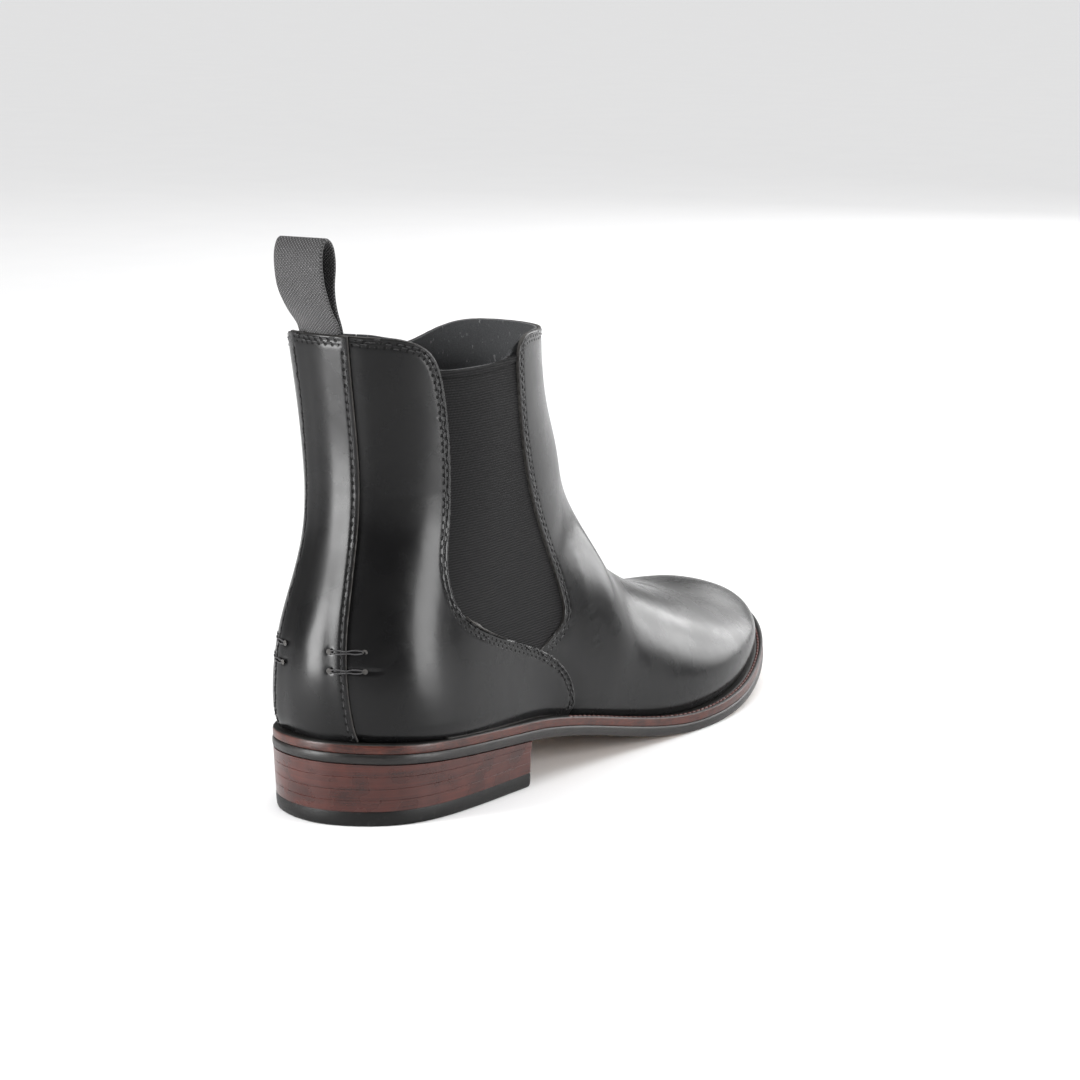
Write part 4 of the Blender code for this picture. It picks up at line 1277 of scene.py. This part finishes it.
def heel_stack_leather():
    """Burnished heel leather: red brown, mottled, with fine level lines of fibre under a hard wax shine."""
    s = Shader("burnished_heel_leather")
    lines = s.noise(0.5, 3, 0.6, (0.012, 0.012, 1.0))
    bands = s.noise(1.6, 2, 0.5, (0.012, 0.012, 1.0))
    mottle = s.noise(9, 2, 0.45)
    shade = s.plus(s.times(lines, 0.3), s.times(mottle, 0.45))
    shade = s.plus(shade, s.times(bands, 0.25))
    colour = s.mix(s.remap(shade, 0.28, 0.76), (0.014, 0.0025, 0.0016), (0.066, 0.0125, 0.0072))
    height = s.plus(s.times(lines, 0.12), s.times(s.noise(0.4, 2), 0.05))
    roughness = s.remap(mottle, 0.3, 0.7, 0.22, 0.34)
    return s.finish(colour, roughness, height, 0.1, specular=0.35, coat=0.12, coat_roughness=0.15)


def dressed_edge(name, dark, pale, roughness):
    """Dressed sole leather: fine level fibre lines, scuffs and a waxed surface."""
    s = Shader(name)
    lines = s.noise(0.35, 3, 0.6, (0.08, 0.08, 1.0))
    scuffs = s.remap(s.noise(1.4, 4, 0.65), 0.56, 0.7)
    mottle = s.noise(7, 3)
    shade = s.plus(s.times(lines, 0.5), s.times(mottle, 0.5))
    colour = s.mix(s.remap(shade, 0.35, 0.65), dark, pale)
    colour = s.mix(s.times(scuffs, 0.35), colour, tuple(min(1, 2.2 * value) for value in pale))
    return s.finish(colour, s.plus(roughness, s.times(scuffs, 0.2)), shade, 0.14, specular=0.35)


def moulded_rubber():
    """Black top-piece rubber with a fine matte grain and grey scuffs."""
    s = Shader("moulded_rubber")
    grain = s.noise(0.25, 3)
    scuffs = s.remap(s.noise(2.2, 4, 0.6), 0.55, 0.75)
    colour = s.mix(grain, (0.0025, 0.0025, 0.0025), (0.0065, 0.0063, 0.006))
    colour = s.mix(s.times(scuffs, 0.4), colour, (0.028, 0.027, 0.026))
    return s.finish(colour, 0.45, grain, 0.08, specular=0.22)


def granular(name, dark, pale, size_mm, roughness=0.8, metallic=0.0):
    """A plain inner material: cork, board, felted filler or steel, with its own grain."""
    s = Shader(name)
    crumbs = s.cells(size_mm)
    grain = s.noise(size_mm * 0.4, 4)
    colour = s.mix(s.plus(s.times(crumbs, 0.5), s.times(grain, 0.5)), dark, pale)
    return s.finish(colour, roughness, crumbs, 0.12, metallic=metallic)


def studio_floor():
    s = Shader("studio_floor")
    tone = s.noise(60, 3)
    tooth = s.noise(0.8, 3)
    colour = s.mix(tone, (0.80, 0.80, 0.805), (0.83, 0.83, 0.832))
    return s.finish(colour, 0.75, tooth, 0.02, specular=0.2)


def make_finishes():
    return {
        "leather": black_leather(),
        "raw": raw_edge(),
        "elastic": elastic_weave(),
        "webbing": webbing_twill(),
        "lining": lining_cloth(),
        "thread": twisted_thread("black_thread", (0.004, 0.004, 0.0042), (0.022, 0.021, 0.022)),
        "welt_thread": twisted_thread("dark_red_thread", (0.022, 0.006, 0.005), (0.12, 0.03, 0.022)),
        "bar_thread": twisted_thread("bar_thread", (0.006, 0.006, 0.0065), (0.05, 0.048, 0.05)),
        "stack": heel_stack_leather(),
        "sole_edge": dressed_edge("dressed_sole_edge", (0.0035, 0.0032, 0.003), (0.0105, 0.0085, 0.0078),
                                  0.4),
        "sole_bottom": dressed_edge("sole_underside", (0.18, 0.105, 0.055), (0.33, 0.21, 0.12), 0.55),
        "welt_edge": dressed_edge("welt_edge", (0.018, 0.0045, 0.003), (0.058, 0.0145, 0.0088), 0.36),
        "welt_top": dressed_edge("welt_top", (0.004, 0.0038, 0.0036), (0.011, 0.0095, 0.0085), 0.5),
        "rubber": moulded_rubber(),
        "board": granular("fibre_board", (0.16, 0.1, 0.06), (0.32, 0.22, 0.14), 1.2),
        "cork": granular("cork", (0.16, 0.09, 0.045), (0.5, 0.33, 0.19), 2.2),
        "steel": granular("spring_steel", (0.3, 0.3, 0.31), (0.55, 0.55, 0.56), 1.5, 0.35, 1.0),
        "floor": studio_floor(),
    }


def dress_cad_nodes(finishes):
    """Gives every node of the frame a material of its own kind. The inner pieces are shown as they are."""
    kinds = {"black_leather": "leather", "elastic": "elastic", "webbing": "elastic", "lining": "lining",
             "board": "board", "thread": "thread", "rubber": "rubber", "heel_leather": "stack",
             "sole_leather": "sole_edge", "welt_leather": "welt_edge", "cork": "cork", "steel": "steel"}
    for part in frame["record"]["subparts"]:
        materials = frame["nodes"][part["node"]].data.materials
        materials.clear()
        materials.append(finishes[kinds[part["material_slot"]]])


# --- Stage ---


def direction(azimuth, elevation):
    """Unit vector from the boot towards a place seen at this azimuth and elevation."""
    a, e = math.radians(azimuth), math.radians(elevation)
    return Vector((math.sin(a) * math.cos(e), -math.cos(a) * math.cos(e), math.sin(e)))


def in_frame(x, y, z):
    """A place in design millimetres as a point in the frame."""
    return Vector((np.array([x, y, z]) + ORIGIN) * MM)


def set_down(made, target, out, distance):
    """Places a light or the camera at a distance from its target, facing it."""
    made.location = target + out * distance
    made.rotation_euler = out.to_track_quat("Z", "Y").to_euler()


def panel_light(name, target, azimuth, elevation, distance, width, height, power):
    light = bpy.data.lights.new(name, "AREA")
    light.shape = "RECTANGLE"
    light.size = width
    light.size_y = height
    light.energy = power
    made = link_new(name, light)
    set_down(made, target, direction(azimuth, elevation), distance)
    made.visible_camera = False


def build_stage(floor_finish):
    bpy.ops.mesh.primitive_plane_add(size=60, location=(0, 0, 0))
    floor = bpy.context.object
    floor.name = "studio_floor"
    floor.data.materials.append(floor_finish)

    world = bpy.data.worlds.new("studio_world")
    bpy.context.scene.world = world
    world.use_nodes = True
    background = world.node_tree.nodes["Background"]
    background.inputs["Color"].default_value = (1, 1, 1, 1)
    background.inputs["Strength"].default_value = WORLD_STRENGTH

    ceiling = bpy.data.lights.new("ceiling", "SUN")
    ceiling.energy = CEILING_STRENGTH
    ceiling.angle = math.radians(CEILING_ANGLE)
    made = link_new("ceiling", ceiling)
    made.visible_camera = False

    # Azimuth and elevation in degrees, then distance, width and height in metres, and power in watts
    heel = in_frame(-3, 5, 80)
    middle = in_frame(0, 130, 80)
    panel_light("rear_strip", heel, -36, 5, 0.42, 0.15, 0.4, 4.8)
    panel_light("side_patch", middle, 92, 7, 0.6, 0.24, 0.4, 4.4)
    panel_light("front_low", middle, 166, 12, 2.0, 1.2, 0.7, 12)
    panel_light("front_outer_side", middle, 148, 18, 1.5, 0.9, 0.6, 7)
    panel_light("front_inner_side", middle, 188, 16, 2.0, 0.9, 0.6, 4)
    panel_light("front_high", middle, 184, 38, 1.6, 1.0, 0.6, 5)


def build_camera():
    camera = bpy.data.cameras.new("photo_view")
    camera.sensor_width = SENSOR
    camera.lens = LENS
    camera.clip_start = 0.01
    made = link_new("photo_view", camera)
    back = direction(CAMERA_AZIMUTH, CAMERA_ELEVATION)
    right = direction(CAMERA_AZIMUTH + 90, 0)
    up = back.cross(right)
    target = in_frame(0, 150, 70) + (0.12 * right + 2.53 * up) * MM
    set_down(made, target, back, CAMERA_DISTANCE)
    bpy.context.scene.camera = made


# --- The boot ---


def build_boot(finishes):
    leather = [finishes["leather"], finishes["raw"]]
    build_back_strip(leather, finishes["thread"])
    quarters = []
    for side, word in SIDES:
        quarters.append(build_quarter(side, word, leather, finishes["thread"]))
        build_gore(side, word, finishes["elastic"])
    build_vamp(leather, finishes["thread"], quarters)
    build_linings(finishes["lining"])
    build_pull_tab(finishes["webbing"])
    build_bar_stitches(finishes["bar_thread"], finishes["raw"])
    build_sole(finishes)


finishes = make_finishes()
dress_cad_nodes(finishes)
build_boot(finishes)
build_stage(finishes["floor"])
build_camera()

bpy.context.scene.view_settings.view_transform = "Standard"
